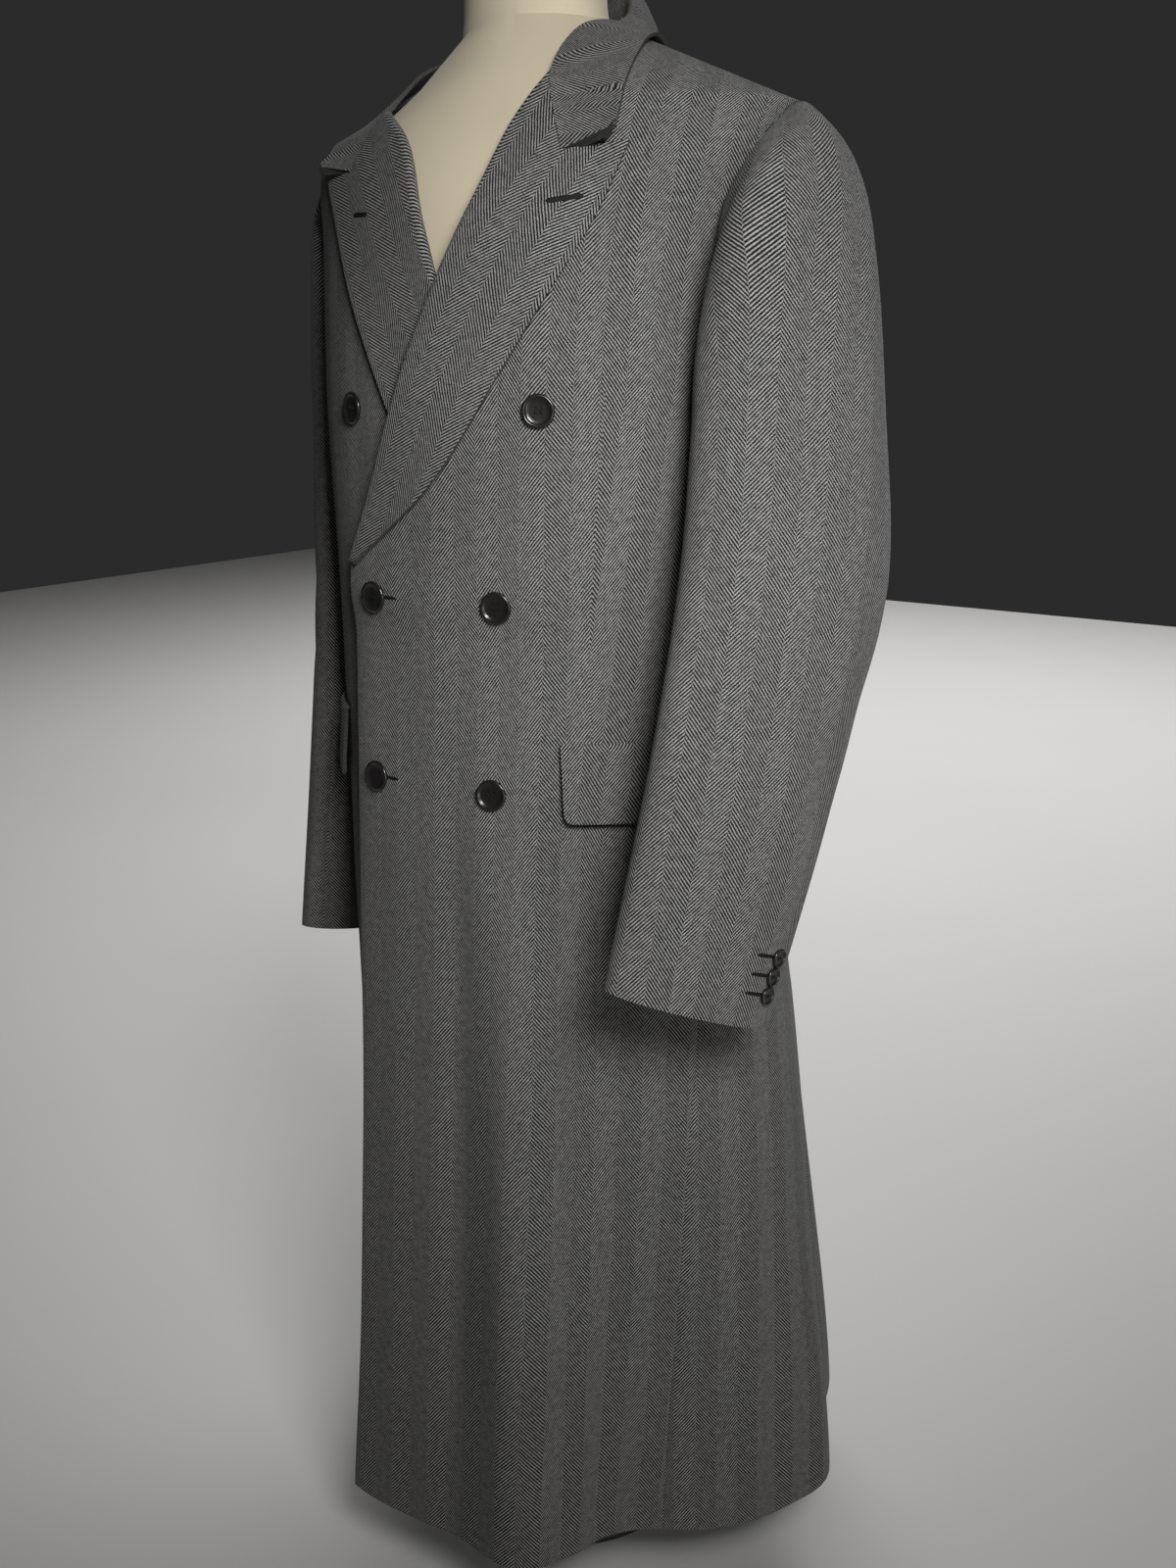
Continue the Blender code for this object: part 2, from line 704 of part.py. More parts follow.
def along(outline, share):
    """Point on an outline at a share of its height."""
    z = mix(outline[0].z, outline[-1].z, share)
    return smooth(column(outline, "z"), column(outline, "x"), z), z


def lapel_place(side, share, climb):
    """Lapel point in the front view: share runs from roll to edge, climb from break to gorge."""
    roll = Vector(along(ROLL_LINES[side], climb))
    edge = Vector(along(LAPEL_EDGES[side], climb))
    roll_top = Vector(along(ROLL_LINES[side], 1.0))
    edge_top = Vector(along(LAPEL_EDGES[side], 1.0))
    notch = Vector(NOTCH)
    if share < NOTCH_SHARE:
        gorge = mix(roll_top, notch, share / NOTCH_SHARE)
    else:
        gorge = mix(notch, edge_top, (share - NOTCH_SHARE) / (1.0 - NOTCH_SHARE))
    straight = mix(roll_top, edge_top, share)
    return mix(roll, edge, share) + (gorge - straight) * climb ** 3


def build_lapel(name, side, front, finish):
    points = []
    for i in range(LAPEL_ROWS + 1):
        climb = mix(LAPEL_FOOT, 1.0, i / LAPEL_ROWS)
        row = []
        for j in range(LAPEL_COLUMNS + 1):
            share = j / LAPEL_COLUMNS
            x, z = lapel_place(side, share, climb)
            bulge = ROLL_BULGE * (1.0 - share) ** 2 * ease(BULGE_START, BULGE_FULL, climb)
            point = front_place(side, side * x, z)
            normal = front_normal(side, side * x, z)
            up = max(rise((front,), point, normal), 0.0)
            row.append(point + normal * (up + LAID_GAP + DOUBLE_CLOTH + bulge))
        if side < 0:
            row.reverse()
        points.append(row)
    return wall(name, points, grid_normals(points), DOUBLE_CLOTH, finish)


# Collar

def roof_gap(point):
    """Distance of a point above the coat's upper surface, and that surface's normal."""
    low = FOOT_Z
    high = SHOULDER_SECTIONS[-1].z
    passes = 40
    for _ in range(passes):
        z = 0.5 * (low + high)
        back_by = point.y - body_column("set_back", z)
        side = "front" if back_by < 0.0 else "back"
        inside = (point.x / half_width(z)) ** 2 + (back_by / depth(z, side)) ** 2
        if inside < 1.0:
            low = z
        else:
            high = z
    angle = math.atan2(point.x / half_width(low), -back_by / depth(low, side))
    normal = normal_of(plain_point, angle, low)
    return (point - plain_point(angle, low)).dot(normal), normal


def collar_profile(place, share):
    """Collar point: place runs along the stations, share from the neck seam over the roll."""
    keys = range(len(COLLAR_STATIONS))
    row = {name: smooth(keys, column(COLLAR_STATIONS, name), place) for name in Station._fields}
    seam = Vector((row["seam_x"], row["seam_y"], row["seam_z"]))
    fall = Vector((row["fall_x"], row["fall_y"], row["fall_z"]))
    stand = row["stand"]
    upright = min(stand / FULL_STAND, 1.0) ** STAND_POWER
    rising = Vector((0.0, 0.0, stand))
    outward = Vector((fall.x - seam.x, fall.y - seam.y, 0.0)).normalized()
    inner = seam + rising * INNER_PULL - outward * INNER_LEAN
    outer = seam + rising * OUTER_PULL + outward * OUTER_LEAN
    first = mix(mix(seam, fall, 1.0 / 3.0), inner, upright)
    second = mix(mix(seam, fall, 2.0 / 3.0), outer, upright)
    back = 1.0 - share
    return (seam * back ** 3 + first * 3.0 * back * back * share
            + second * 3.0 * back * share * share + fall * share ** 3)


def build_collar(name, finish):
    stations = [i * (len(COLLAR_STATIONS) - 1) / COLLAR_STEPS for i in range(COLLAR_STEPS + 1)]
    half = []
    for place in stations:
        row = []
        for j in range(COLLAR_COLUMNS + 1):
            point = collar_profile(place, j / COLLAR_COLUMNS)
            gap, normal = roof_gap(point)
            short = DOUBLE_CLOTH + COLLAR_CLEAR - gap
            row.append(point + normal * max(short, 0.0))
        half.append(row)
    mirrored = [[Vector((-p.x, p.y, p.z)) for p in row] for row in half[:-1]]
    grid = half + mirrored[::-1]
    grid = [list(row) for row in zip(*grid)]
    grid = [row[::-1] for row in grid]
    normals = grid_normals(grid)
    probe = normals[-1][COLLAR_STEPS]
    if probe.y < 0.0:
        normals = [[-normal for normal in row] for row in normals]
    return wall(name, grid, normals, DOUBLE_CLOTH, finish)


# Sleeves

def ring_point(ring, turn):
    turn = math.radians(turn)
    lift = math.radians(ring.lift)
    lean = math.radians(ring.lean)
    twist = math.radians(ring.twist)
    front = Vector((-math.sin(twist) * math.cos(lean), -math.cos(twist) * math.cos(lean), math.sin(lean)))
    out = Vector((math.cos(twist) * math.cos(lift), -math.sin(twist) * math.cos(lift), math.sin(lift)))
    centre = Vector((ring.x, ring.y, ring.z))
    return centre + front * ring.front_half * math.cos(turn) + out * ring.out_half * math.sin(turn)


def sleeve_line(rings, turn):
    """Key points down one line of a sleeve, from inside the armhole to the cuff."""
    angle, z = armhole(turn, 1.0 - SLEEVE_SET_IN)
    start = plain_point(angle, z)
    normal = normal_of(plain_point, angle, z)
    return [start - normal * CLOTH, start + normal * SLEEVE_STEP] + [ring_point(r, turn) for r in rings]


def sleeve_grid(rings, turns):
    """Outer points of a sleeve: rows from cuff to armhole, columns by turn."""
    keys = SLEEVE_KEYS
    lines = []
    for turn in turns:
        line = sleeve_line(rings, turn)
        places = [0.0] + [mix(keys[1], keys[-1], i / SLEEVE_ROWS) for i in range(SLEEVE_ROWS + 1)]
        lines.append([Vector([smooth(keys, [p[axis] for p in line], at) for axis in range(3)])
                      for at in places])
    grid = [list(row) for row in zip(*lines)]
    return grid[::-1]


def build_sleeve(name, side, rings, first_turn, last_turn, columns, finish):
    turns = [mix(first_turn, last_turn, j / columns) for j in range(columns + 1)]
    turns[0] += SEAM_HALF_TURN
    turns[-1] -= SEAM_HALF_TURN
    grid = sleeve_grid(rings, turns)
    normals = []
    apart = 3.0
    ahead = sleeve_grid(rings, [turn + apart for turn in turns])
    behind = sleeve_grid(rings, [turn - apart for turn in turns])
    rows = len(grid)
    for i in range(rows):
        line = []
        for j in range(columns + 1):
            across = ahead[i][j] - behind[i][j]
            up = grid[min(i + 1, rows - 1)][j] - grid[max(i - 1, 0)][j]
            line.append(across.cross(up).normalized())
        normals.append(line)
    if side < 0:
        grid = [[Vector((-p.x, p.y, p.z)) for p in reversed(row)] for row in grid]
        normals = [[Vector((-n.x, n.y, n.z)) for n in reversed(row)] for row in normals]
    return wall(name, grid, normals, CLOTH, finish)


# Pocket flaps

def build_flap(name, side, carriers, finish):
    mid = FLAP_TOP_Z - 0.5 * FLAP_DEPTH
    start = side * angle_at(side * FLAP_FRONT_X, mid, side)
    end = start
    length = 0.0
    turn = 0.002
    while length < FLAP_LENGTH:
        here = body_point(side * end, mid, side)
        end += turn
        length += (body_point(side * end, mid, side) - here).length
    points = []
    normals = []
    for i in range(FLAP_ROWS + 1):
        z = mix(FLAP_TOP_Z - FLAP_DEPTH, FLAP_TOP_Z, i / FLAP_ROWS)
        row = []
        lean = []
        for j in range(FLAP_COLUMNS + 1):
            angle = side * mix(start, end, j / FLAP_COLUMNS)
            normal = body_normal(angle, z, side)
            point = body_point(angle, z, side)
            row.append(point + normal * (rise(carriers, point, normal) + FLAP_GAP + DOUBLE_CLOTH))
            lean.append(normal)
        if side < 0:
            row.reverse()
            lean.reverse()
        points.append(row)
        normals.append(lean)
    return wall(name, points, normals, DOUBLE_CLOTH, finish)


# Turned pieces

def turned(name, profile, sides, finish, place=None, axis=None):
    """Solid of revolution from (radius, height) pairs, turned about its own axis."""
    mesh = bpy.data.meshes.new(name)
    bm = bmesh.new()
    verts = [bm.verts.new((radius, 0.0, height)) for radius, height in profile]
    edges = [bm.edges.new(pair) for pair in zip(verts, verts[1:])]
    bmesh.ops.spin(bm, geom=verts + edges, cent=(0, 0, 0), axis=(0, 0, 1),
                   angle=math.tau, steps=sides, use_merge=True)
    bmesh.ops.remove_doubles(bm, verts=bm.verts, dist=1e-6)
    if place is not None:
        turn = axis.to_track_quat("Z", "Y").to_matrix()
        for vert in bm.verts:
            vert.co = turn @ vert.co + place
    return finish_mesh(name, bm, mesh, finish)


def button_profile(radius, thick):
    return [(line.radius_share * radius, line.thick_share * thick) for line in BUTTON_PROFILE]


def build_front_buttons(finish):
    profile = button_profile(FRONT_BUTTON_RADIUS, FRONT_BUTTON_THICK)
    for row in BUTTON_ROWS:
        for word, x in (("left", row.left_x), ("right", row.right_x)):
            side = -1 if row.name == "top" and x < 0.0 else 1
            normal = front_normal(side, x, row.z)
            carrier = "front_left" if side > 0 else "front_right"
            place = seat((carrier,), front_place(side, x, row.z), normal, FRONT_BUTTON_RADIUS)
            turned(f"button_{row.name}_{word}", profile, FRONT_BUTTON_SIDES, finish, place, normal)


def build_cuff_buttons(word, side, rings, finish):
    profile = button_profile(CUFF_BUTTON_RADIUS, CUFF_BUTTON_THICK)
    spread = 6.0
    step = 0.02
    for number, height in enumerate(CUFF_BUTTON_HEIGHTS, 1):
        share = height / (rings[-2].z - rings[-1].z)
        here = sleeve_sample(rings, CUFF_BUTTON_TURN, share)
        across = (sleeve_sample(rings, CUFF_BUTTON_TURN + spread, share)
                  - sleeve_sample(rings, CUFF_BUTTON_TURN - spread, share))
        up = (sleeve_sample(rings, CUFF_BUTTON_TURN, share + step)
              - sleeve_sample(rings, CUFF_BUTTON_TURN, share - step))
        normal = across.cross(up).normalized()
        if normal.x < 0.0:
            normal = -normal
        if side < 0:
            here = Vector((-here.x, here.y, here.z))
            normal = Vector((-normal.x, normal.y, normal.z))
        place = seat((f"sleeve_top_{word}",), here, normal, CUFF_BUTTON_RADIUS)
        turned(f"cuff_button_{word}_{number}", profile, CUFF_BUTTON_SIDES, finish, place, normal)


def sleeve_sample(rings, turn, share):
    """Sleeve point at a share of the way from the cuff to the ring above it."""
    keys = SLEEVE_KEYS
    line = sleeve_line(rings, turn)
    at = mix(keys[-1], keys[-2], share)
    return Vector([smooth(keys, [p[axis] for p in line], at) for axis in range(3)])


# Dress form

def cloth_depth(point, normal):
    """Depth of the panels' inner facets under a point of the coat's surface."""
    far = 0.060
    panels = [name for name in FACETS if name.startswith(("front", "side", "back"))]
    found = [FACETS[name].ray_cast(point - normal * far, normal, 2.0 * far) for name in panels]
    return max([far - hit[3] for hit in found if hit[3] is not None], default=CLOTH)


def build_form(finish_cloth, finish_cap, finish_pole, finish_base):
    mesh = bpy.data.meshes.new("form_torso")
    bm = bmesh.new()
    rings = []
    for level in FORM_LEVELS:
        ring = []
        for k in range(FORM_SIDES):
            angle = math.tau * k / FORM_SIDES
            normal = normal_of(plain_point, angle, level.z)
            skin = plain_point(angle, level.z)
            depth_in = cloth_depth(skin, normal) + level.clear
            ring.append(bm.verts.new(skin - normal * depth_in))
        rings.append(ring)
    for level in NECK_LEVELS:
        ring = []
        for k in range(FORM_SIDES):
            angle = math.tau * k / FORM_SIDES
            reach = level.front if math.cos(angle) > 0.0 else level.back
            ring.append(bm.verts.new((level.half_width * math.sin(angle),
                                      -reach * math.cos(angle), level.z)))
        rings.append(ring)
    for low, high in zip(rings, rings[1:]):
        for k in range(FORM_SIDES):
            nxt = (k + 1) % FORM_SIDES
            bm.faces.new((low[k], low[nxt], high[nxt], high[k]))
    bottom = min(vert.co.z for vert in rings[0])
    for vert in rings[0]:
        vert.co.z = bottom
    bm.faces.new(rings[0][::-1])
    bm.faces.new(rings[-1])
    finish_mesh("form_torso", bm, mesh, finish_cloth)
    up = Vector((0.0, 0.0, 1.0))
    last = NECK_LEVELS[-1]
    neck_centre = Vector((0.0, 0.5 * (last.back - last.front), last.z + GAP))
    cap = ((0.0, 0.0), (CAP_RADIUS, 0.0), (CAP_RADIUS, CAP_HEIGHT - CAP_EDGE),
           (CAP_RADIUS - CAP_EDGE, CAP_HEIGHT), (0.0, CAP_HEIGHT))
    turned("form_cap", cap, CAP_SIDES, finish_cap, neck_centre, up)
    stand = Vector((0.0, STAND_BACK, 0.0))
    foot = BASE_HEIGHT + GAP
    top = bottom - GAP
    pole = ((0.0, foot), (POLE_RADIUS, foot), (POLE_RADIUS, top), (0.0, top))
    turned("stand_pole", pole, POLE_SIDES, finish_pole, stand, up)
    base = ((0.0, 0.0), (BASE_RADIUS, 0.0), (BASE_RADIUS, BASE_HEIGHT - BASE_EDGE),
            (BASE_RADIUS - BASE_EDGE, BASE_HEIGHT), (0.0, BASE_HEIGHT))
    turned("stand_base", base, BASE_SIDES, finish_base, stand, up)


clear_scene()
wool = material("wool", (0.085, 0.083, 0.080), 0.95)
horn = material("button_black", (0.015, 0.014, 0.014), 0.25)
calico = material("form_cloth", (0.78, 0.72, 0.60), 0.90)
cap_wood = material("cap_wood", (0.30, 0.18, 0.09), 0.50)
steel = material("pole_metal", (0.55, 0.55, 0.56), 0.30, 1.0)
paint = material("base_paint", (0.05, 0.05, 0.05), 0.45)

for word, side in (("left", 1), ("right", -1)):
    sleeve_rings = LEFT_RINGS if side > 0 else RIGHT_RINGS
    build_front(f"front_{word}", side, wool)
    build_side(f"side_{word}", side, wool)
    build_back(f"back_{word}", side, wool)
    build_lapel(f"lapel_{word}", side, f"front_{word}", wool)
    build_flap(f"flap_{word}", side, (f"front_{word}", f"side_{word}"), wool)
    build_sleeve(f"sleeve_top_{word}", side, sleeve_rings, -SLEEVE_SEAM_TURN,
                 180.0 + SLEEVE_SEAM_TURN, TOP_SLEEVE_COLUMNS, wool)
    build_sleeve(f"sleeve_under_{word}", side, sleeve_rings, 180.0 + SLEEVE_SEAM_TURN,
                 360.0 - SLEEVE_SEAM_TURN, UNDER_SLEEVE_COLUMNS, wool)
    build_cuff_buttons(word, side, sleeve_rings, horn)
build_collar("collar", wool)
build_front_buttons(horn)
build_form(calico, cap_wood, steel, paint)
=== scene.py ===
"""Looks of the double-breasted herringbone overcoat on its dress form.

Metres, +Z up, floor at z = 0, front towards -Y, the wearer's left towards +X.
"""
import math
from collections import namedtuple

import bmesh
import bpy
import numpy as np
from mathutils import Matrix, Vector


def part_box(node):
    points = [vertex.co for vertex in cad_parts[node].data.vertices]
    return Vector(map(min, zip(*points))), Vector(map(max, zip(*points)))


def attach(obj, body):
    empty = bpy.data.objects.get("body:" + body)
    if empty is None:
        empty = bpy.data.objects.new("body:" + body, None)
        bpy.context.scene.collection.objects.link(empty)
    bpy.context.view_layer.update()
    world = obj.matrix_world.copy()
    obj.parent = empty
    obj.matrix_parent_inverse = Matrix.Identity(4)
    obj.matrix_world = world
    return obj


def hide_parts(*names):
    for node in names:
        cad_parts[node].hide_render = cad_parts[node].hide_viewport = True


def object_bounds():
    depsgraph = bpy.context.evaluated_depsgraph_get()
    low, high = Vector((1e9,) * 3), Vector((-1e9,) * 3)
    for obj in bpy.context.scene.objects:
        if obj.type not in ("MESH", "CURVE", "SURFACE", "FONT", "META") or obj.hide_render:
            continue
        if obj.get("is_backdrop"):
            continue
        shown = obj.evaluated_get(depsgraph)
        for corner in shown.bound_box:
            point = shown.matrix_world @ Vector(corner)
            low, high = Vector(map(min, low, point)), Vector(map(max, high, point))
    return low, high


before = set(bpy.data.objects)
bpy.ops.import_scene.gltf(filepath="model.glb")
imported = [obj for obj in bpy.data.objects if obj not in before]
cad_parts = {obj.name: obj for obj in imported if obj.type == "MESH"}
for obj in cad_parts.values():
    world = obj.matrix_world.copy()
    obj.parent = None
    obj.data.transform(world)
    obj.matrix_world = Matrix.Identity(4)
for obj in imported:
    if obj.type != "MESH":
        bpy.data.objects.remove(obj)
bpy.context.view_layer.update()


# Stand base
# A heavy round foot of cast iron, turned with a low dome and a rolled edge, painted satin black.
# It lies flat on the floor and holds the pole in its raised boss.
Turn = namedtuple("Turn", "radius height")
BASE_TURNS = (
    Turn(0.0000, 0.0000), Turn(0.1290, 0.0000), Turn(0.1325, 0.0008), Turn(0.1345, 0.0030),
    Turn(0.1350, 0.0060), Turn(0.1342, 0.0090), Turn(0.1318, 0.0112), Turn(0.1280, 0.0122),
    Turn(0.1000, 0.0142), Turn(0.0600, 0.0158), Turn(0.0330, 0.0165), Turn(0.0270, 0.0172),
    Turn(0.0242, 0.0190), Turn(0.0230, 0.0212), Turn(0.0210, 0.0220), Turn(0.0000, 0.0220),
)
STAND_SIDES = 96
SHARP_TURN = math.radians(35.0)
PAINT = (0.018, 0.018, 0.019, 1.0)


def add_node(tree, kind, inputs=None, **settings):
    made = tree.nodes.new("ShaderNode" + kind)
    for name, value in settings.items():
        setattr(made, name, value)
    for key, value in (inputs or {}).items():
        if isinstance(value, bpy.types.NodeSocket):
            tree.links.new(value, made.inputs[key])
        else:
            made.inputs[key].default_value = value
    return made


def new_finish(name, sockets):
    """Material with these values on its shader; returns it, its node tree and the shader."""
    made = bpy.data.materials.new(name)
    made.use_nodes = True
    shader = made.node_tree.nodes["Principled BSDF"]
    for socket, value in sockets.items():
        shader.inputs[socket].default_value = value
    return made, made.node_tree, shader


def grain(tree, place, size, detail=2.0, stretch=(1.0, 1.0, 1.0)):
    """Noise whose grains are about this many metres across."""
    turned_place = add_node(tree, "Mapping", {"Vector": place, "Scale": stretch}).outputs[0]
    noise = add_node(tree, "TexNoise", {"Vector": turned_place, "Scale": 1.0 / size, "Detail": detail})
    return noise.outputs["Fac"]


def between(tree, value, low, high):
    """The value's 0 to 1 spread over low to high."""
    spread = add_node(tree, "MapRange", {"Value": value, "To Min": low, "To Max": high})
    return spread.outputs["Result"]


def blend_colours(tree, share, first, second):
    inputs = {0: share, 6: first, 7: second}
    return add_node(tree, "Mix", inputs, data_type="RGBA").outputs[2]


def raise_surface(tree, height, strength, distance):
    bump = add_node(tree, "Bump", {"Height": height, "Strength": strength, "Distance": distance})
    tree.links.new(bump.outputs[0], tree.nodes["Principled BSDF"].inputs["Normal"])


def object_place(tree):
    return add_node(tree, "TexCoord").outputs["Object"]


def grained_finish(name, sockets, size, detail=2.0, stretch=(1.0, 1.0, 1.0), colours=None,
                   roughness=None, relief=None):
    """Material whose colours, roughness and relief follow one noise with grains of this size.

    Colours and roughness are the ends of a range, and relief is a strength and a depth in metres.
    """
    made, tree, shader = new_finish(name, sockets)
    grains = grain(tree, object_place(tree), size, detail, stretch)
    if colours:
        tree.links.new(blend_colours(tree, grains, *colours), shader.inputs["Base Color"])
    if roughness:
        tree.links.new(between(tree, grains, *roughness), shader.inputs["Roughness"])
    if relief:
        raise_surface(tree, grains, *relief)
    return made


def link_piece(name, mesh, finish, nodes):
    """Puts a finished mesh into the scene on the frame, in place of its CAD nodes."""
    piece = bpy.data.objects.new(name, mesh)
    mesh.materials.append(finish)
    bpy.context.scene.collection.objects.link(piece)
    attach(piece, "root")
    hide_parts(*nodes)
    return piece


def turned_bmesh(turns, sides):
    """Closed shape spun from a profile of radii and heights."""
    shape = bmesh.new()
    verts = [shape.verts.new((turn.radius, 0.0, turn.height)) for turn in turns]
    edges = [shape.edges.new(pair) for pair in zip(verts, verts[1:])]
    bmesh.ops.spin(shape, geom=verts + edges, cent=(0, 0, 0), axis=(0, 0, 1), angle=math.tau,
                   steps=sides, use_merge=True)
    bmesh.ops.remove_doubles(shape, verts=shape.verts, dist=1e-6)
    bmesh.ops.recalc_face_normals(shape, faces=shape.faces)
    return shape


def smooth_mesh(name, shape):
    mesh = bpy.data.meshes.new(name)
    shape.to_mesh(mesh)
    shape.free()
    mesh.polygons.foreach_set("use_smooth", [True] * len(mesh.polygons))
    mesh.set_sharp_from_angle(angle=SHARP_TURN)
    return mesh


def shaped_piece(name, shape, finish, nodes):
    link_piece(name, smooth_mesh(name, shape), finish, nodes)


paint = grained_finish("satin_black_paint", {"Base Color": PAINT, "Roughness": 0.42}, size=0.0016,
                       roughness=(0.34, 0.50), relief=(0.15, 0.0002))
shaped_piece("stand_foot", turned_bmesh(BASE_TURNS, STAND_SIDES), paint, ["stand_base"])


# Stand pole
# A drawn steel tube, brushed along its length, with a thin turned ferrule where it enters the foot
# and another where it meets the form. It carries the form's whole weight.
POLE_RADIUS = 0.0125
FERRULE_RADIUS = 0.0165
FERRULE_HEIGHT = 0.014
FERRULE_EDGE = 0.0015
pole_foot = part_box("stand_pole")[0].z
pole_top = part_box("stand_pole")[1].z
STEEL = (0.52, 0.52, 0.53, 1.0)


def ferrule(low, high):
    return [Turn(POLE_RADIUS, low), Turn(FERRULE_RADIUS - FERRULE_EDGE, low),
            Turn(FERRULE_RADIUS, low + FERRULE_EDGE), Turn(FERRULE_RADIUS, high - FERRULE_EDGE),
            Turn(FERRULE_RADIUS - FERRULE_EDGE, high), Turn(POLE_RADIUS, high)]


steel = grained_finish("brushed_steel", {"Base Color": STEEL, "Metallic": 1.0, "Roughness": 0.32},
                       size=0.0012, detail=3.0, stretch=(1.0, 1.0, 0.02), roughness=(0.24, 0.42),
                       relief=(0.10, 0.0001))
pole_turns = [Turn(0.0, pole_foot), *ferrule(pole_foot, pole_foot + FERRULE_HEIGHT),
              *ferrule(pole_top - FERRULE_HEIGHT, pole_top), Turn(0.0, pole_top)]
shaped_piece("stand_tube", turned_bmesh(pole_turns, STAND_SIDES), steel, ["stand_pole"])


# Dress form
# A limbless torso of papier-mache covered tightly in cream calico, cut off flat below the hips and
# at the neck. The coat's shoulders rest on it, so it is worked out from the coat's own sections.
HEM_Z = 0.100
TIP_X = 0.234
TIP_Z = 1.3525
SHOULDER_SLOPE = 0.4135
STAND_BACK = 0.050
Section = namedtuple("Section", "z half_width front back shift set_back")
BODY_SECTIONS = (
    Section(0.100, 0.260, 0.197, 0.280, 0.018, 0.0),
    Section(0.415, 0.248, 0.181, 0.236, 0.017, 0.0),
    Section(0.665, 0.227, 0.167, 0.196, 0.012, 0.0),
    Section(0.815, 0.204, 0.161, 0.174, 0.005, 0.0),
    Section(0.965, 0.194, 0.1556, 0.140, 0.0, 0.0),
    Section(1.115, 0.200, 0.154, 0.150, 0.0, 0.0),
    Section(1.195, 0.205, 0.149, 0.157, 0.0, 0.006),
    Section(1.265, 0.214, 0.137, 0.155, 0.0, 0.014),
    Section(1.310, 0.226, 0.123, 0.144, 0.0, 0.019),
    Section(TIP_Z, TIP_X, 0.104, 0.124, 0.0, 0.022),
)
Shoulder = namedtuple("Shoulder", "z front back")
SHOULDER_SECTIONS = (
    Shoulder(1.375, 0.093, 0.108),
    Shoulder(1.395, 0.080, 0.095),
    Shoulder(1.410, 0.071, 0.086),
    Shoulder(1.425, 0.061, 0.077),
    Shoulder(1.445, 0.044, 0.058),
)
Drop = namedtuple("Drop", "fall start_x full_x start_z full_z")
ARM_DROP = Drop(0.014, 0.050, TIP_X, 0.850, 1.160)
CREST_DROP = Drop(0.028, -0.030, 0.150, 1.300, 1.400)
CREST_FADE_Z = 1.430
CREST_END_Z = 1.475
FormLevel = namedtuple("FormLevel", "z clear")
FORM_LEVELS = (
    FormLevel(0.705, 0.054),
    FormLevel(0.725, 0.042),
    FormLevel(0.765, 0.036),
    FormLevel(0.845, 0.030),
    FormLevel(0.925, 0.025),
    FormLevel(1.005, 0.021),
    FormLevel(1.085, 0.018),
    FormLevel(1.215, 0.014),
    FormLevel(1.310, 0.009),
    FormLevel(1.375, 0.005),
    FormLevel(1.405, 0.006),
)
NeckLevel = namedtuple("NeckLevel", "z half_width front back")
NECK_LEVELS = (
    NeckLevel(1.424, 0.0625, 0.0510, 0.0680),
    NeckLevel(1.440, 0.0600, 0.0500, 0.0660),
    NeckLevel(1.477, 0.0585, 0.0490, 0.0640),
    NeckLevel(1.492, 0.0578, 0.0482, 0.0633),
    NeckLevel(1.495, 0.0555, 0.0460, 0.0610),
)
FORM_SIDES = 96
FORM_RISE = 0.010
CALICO = (0.74, 0.66, 0.49, 1.0)
CALICO_SHADE = (0.63, 0.55, 0.39, 1.0)


def column(table, name):
    return np.array([getattr(row, name) for row in table])


def smooth(keys, values, at):
    """Shape-keeping cubic through the rows of a table, read at every place of an array."""
    keys = np.asarray(keys, float)
    values = np.asarray(values, float)
    at = np.clip(at, keys[0], keys[-1])
    step = np.diff(keys)
    rise = np.diff(values) / step
    slope = np.concatenate((rise[:1], np.zeros(len(keys) - 2), rise[-1:]))
    for i in range(1, len(keys) - 1):
        if rise[i - 1] * rise[i] > 0.0:
            before = 2.0 * step[i] + step[i - 1]
            after = step[i] + 2.0 * step[i - 1]
            slope[i] = (before + after) / (before / rise[i - 1] + after / rise[i])
    i = np.clip(np.searchsorted(keys, at, side="right") - 1, 0, len(step) - 1)
    u = (at - keys[i]) / step[i]
    return ((1 + 2 * u) * (1 - u) ** 2 * values[i] + u * (1 - u) ** 2 * step[i] * slope[i]
            + u * u * (3 - 2 * u) * values[i + 1] + u * u * (u - 1) * step[i] * slope[i + 1])


def at_height(table, name, z):
    """One column of a table at these heights."""
    return smooth(column(table, "z"), column(table, name), z)


def ease(start, end, at):
    """0 at start, 1 at end, level at both."""
    u = np.clip((at - start) / (end - start), 0.0, 1.0)
    return u * u * (3.0 - 2.0 * u)


def mix(a, b, share):
    return a + (b - a) * share


def level(name, z):
    """One column of the coat's sections at these heights."""
    if name == "half_width":
        low = at_height(BODY_SECTIONS, name, z)
        return np.where(z <= TIP_Z, low, TIP_X - (z - TIP_Z) / SHOULDER_SLOPE)
    table = BODY_SECTIONS + SHOULDER_SECTIONS if name in ("front", "back") else BODY_SECTIONS
    return at_height(table, name, z)


def body_place(angle, z, swell=1.0):
    """Points of the coat's outer face, by turn in radians from the front centre, and by height."""
    set_back = level("set_back", z)
    deep = np.where(np.cos(angle) > 0.0, level("front", z) + set_back, level("back", z) - set_back)
    x = level("shift", z) + level("half_width", z) * np.sin(angle) * swell
    y = set_back - deep * np.cos(angle) * swell
    return np.stack(np.broadcast_arrays(x, y, z), axis=-1)


def unit(vectors):
    return vectors / np.maximum(np.linalg.norm(vectors, axis=-1, keepdims=True), 1e-12)


def face_out(place, angle, z):
    """Outward directions of a surface given by turn and height."""
    turn = 0.002
    climb = 0.0006
    across = place(angle + turn, z) - place(angle - turn, z)
    up = place(angle, z + climb) - place(angle, z - climb)
    return unit(np.cross(across, up))


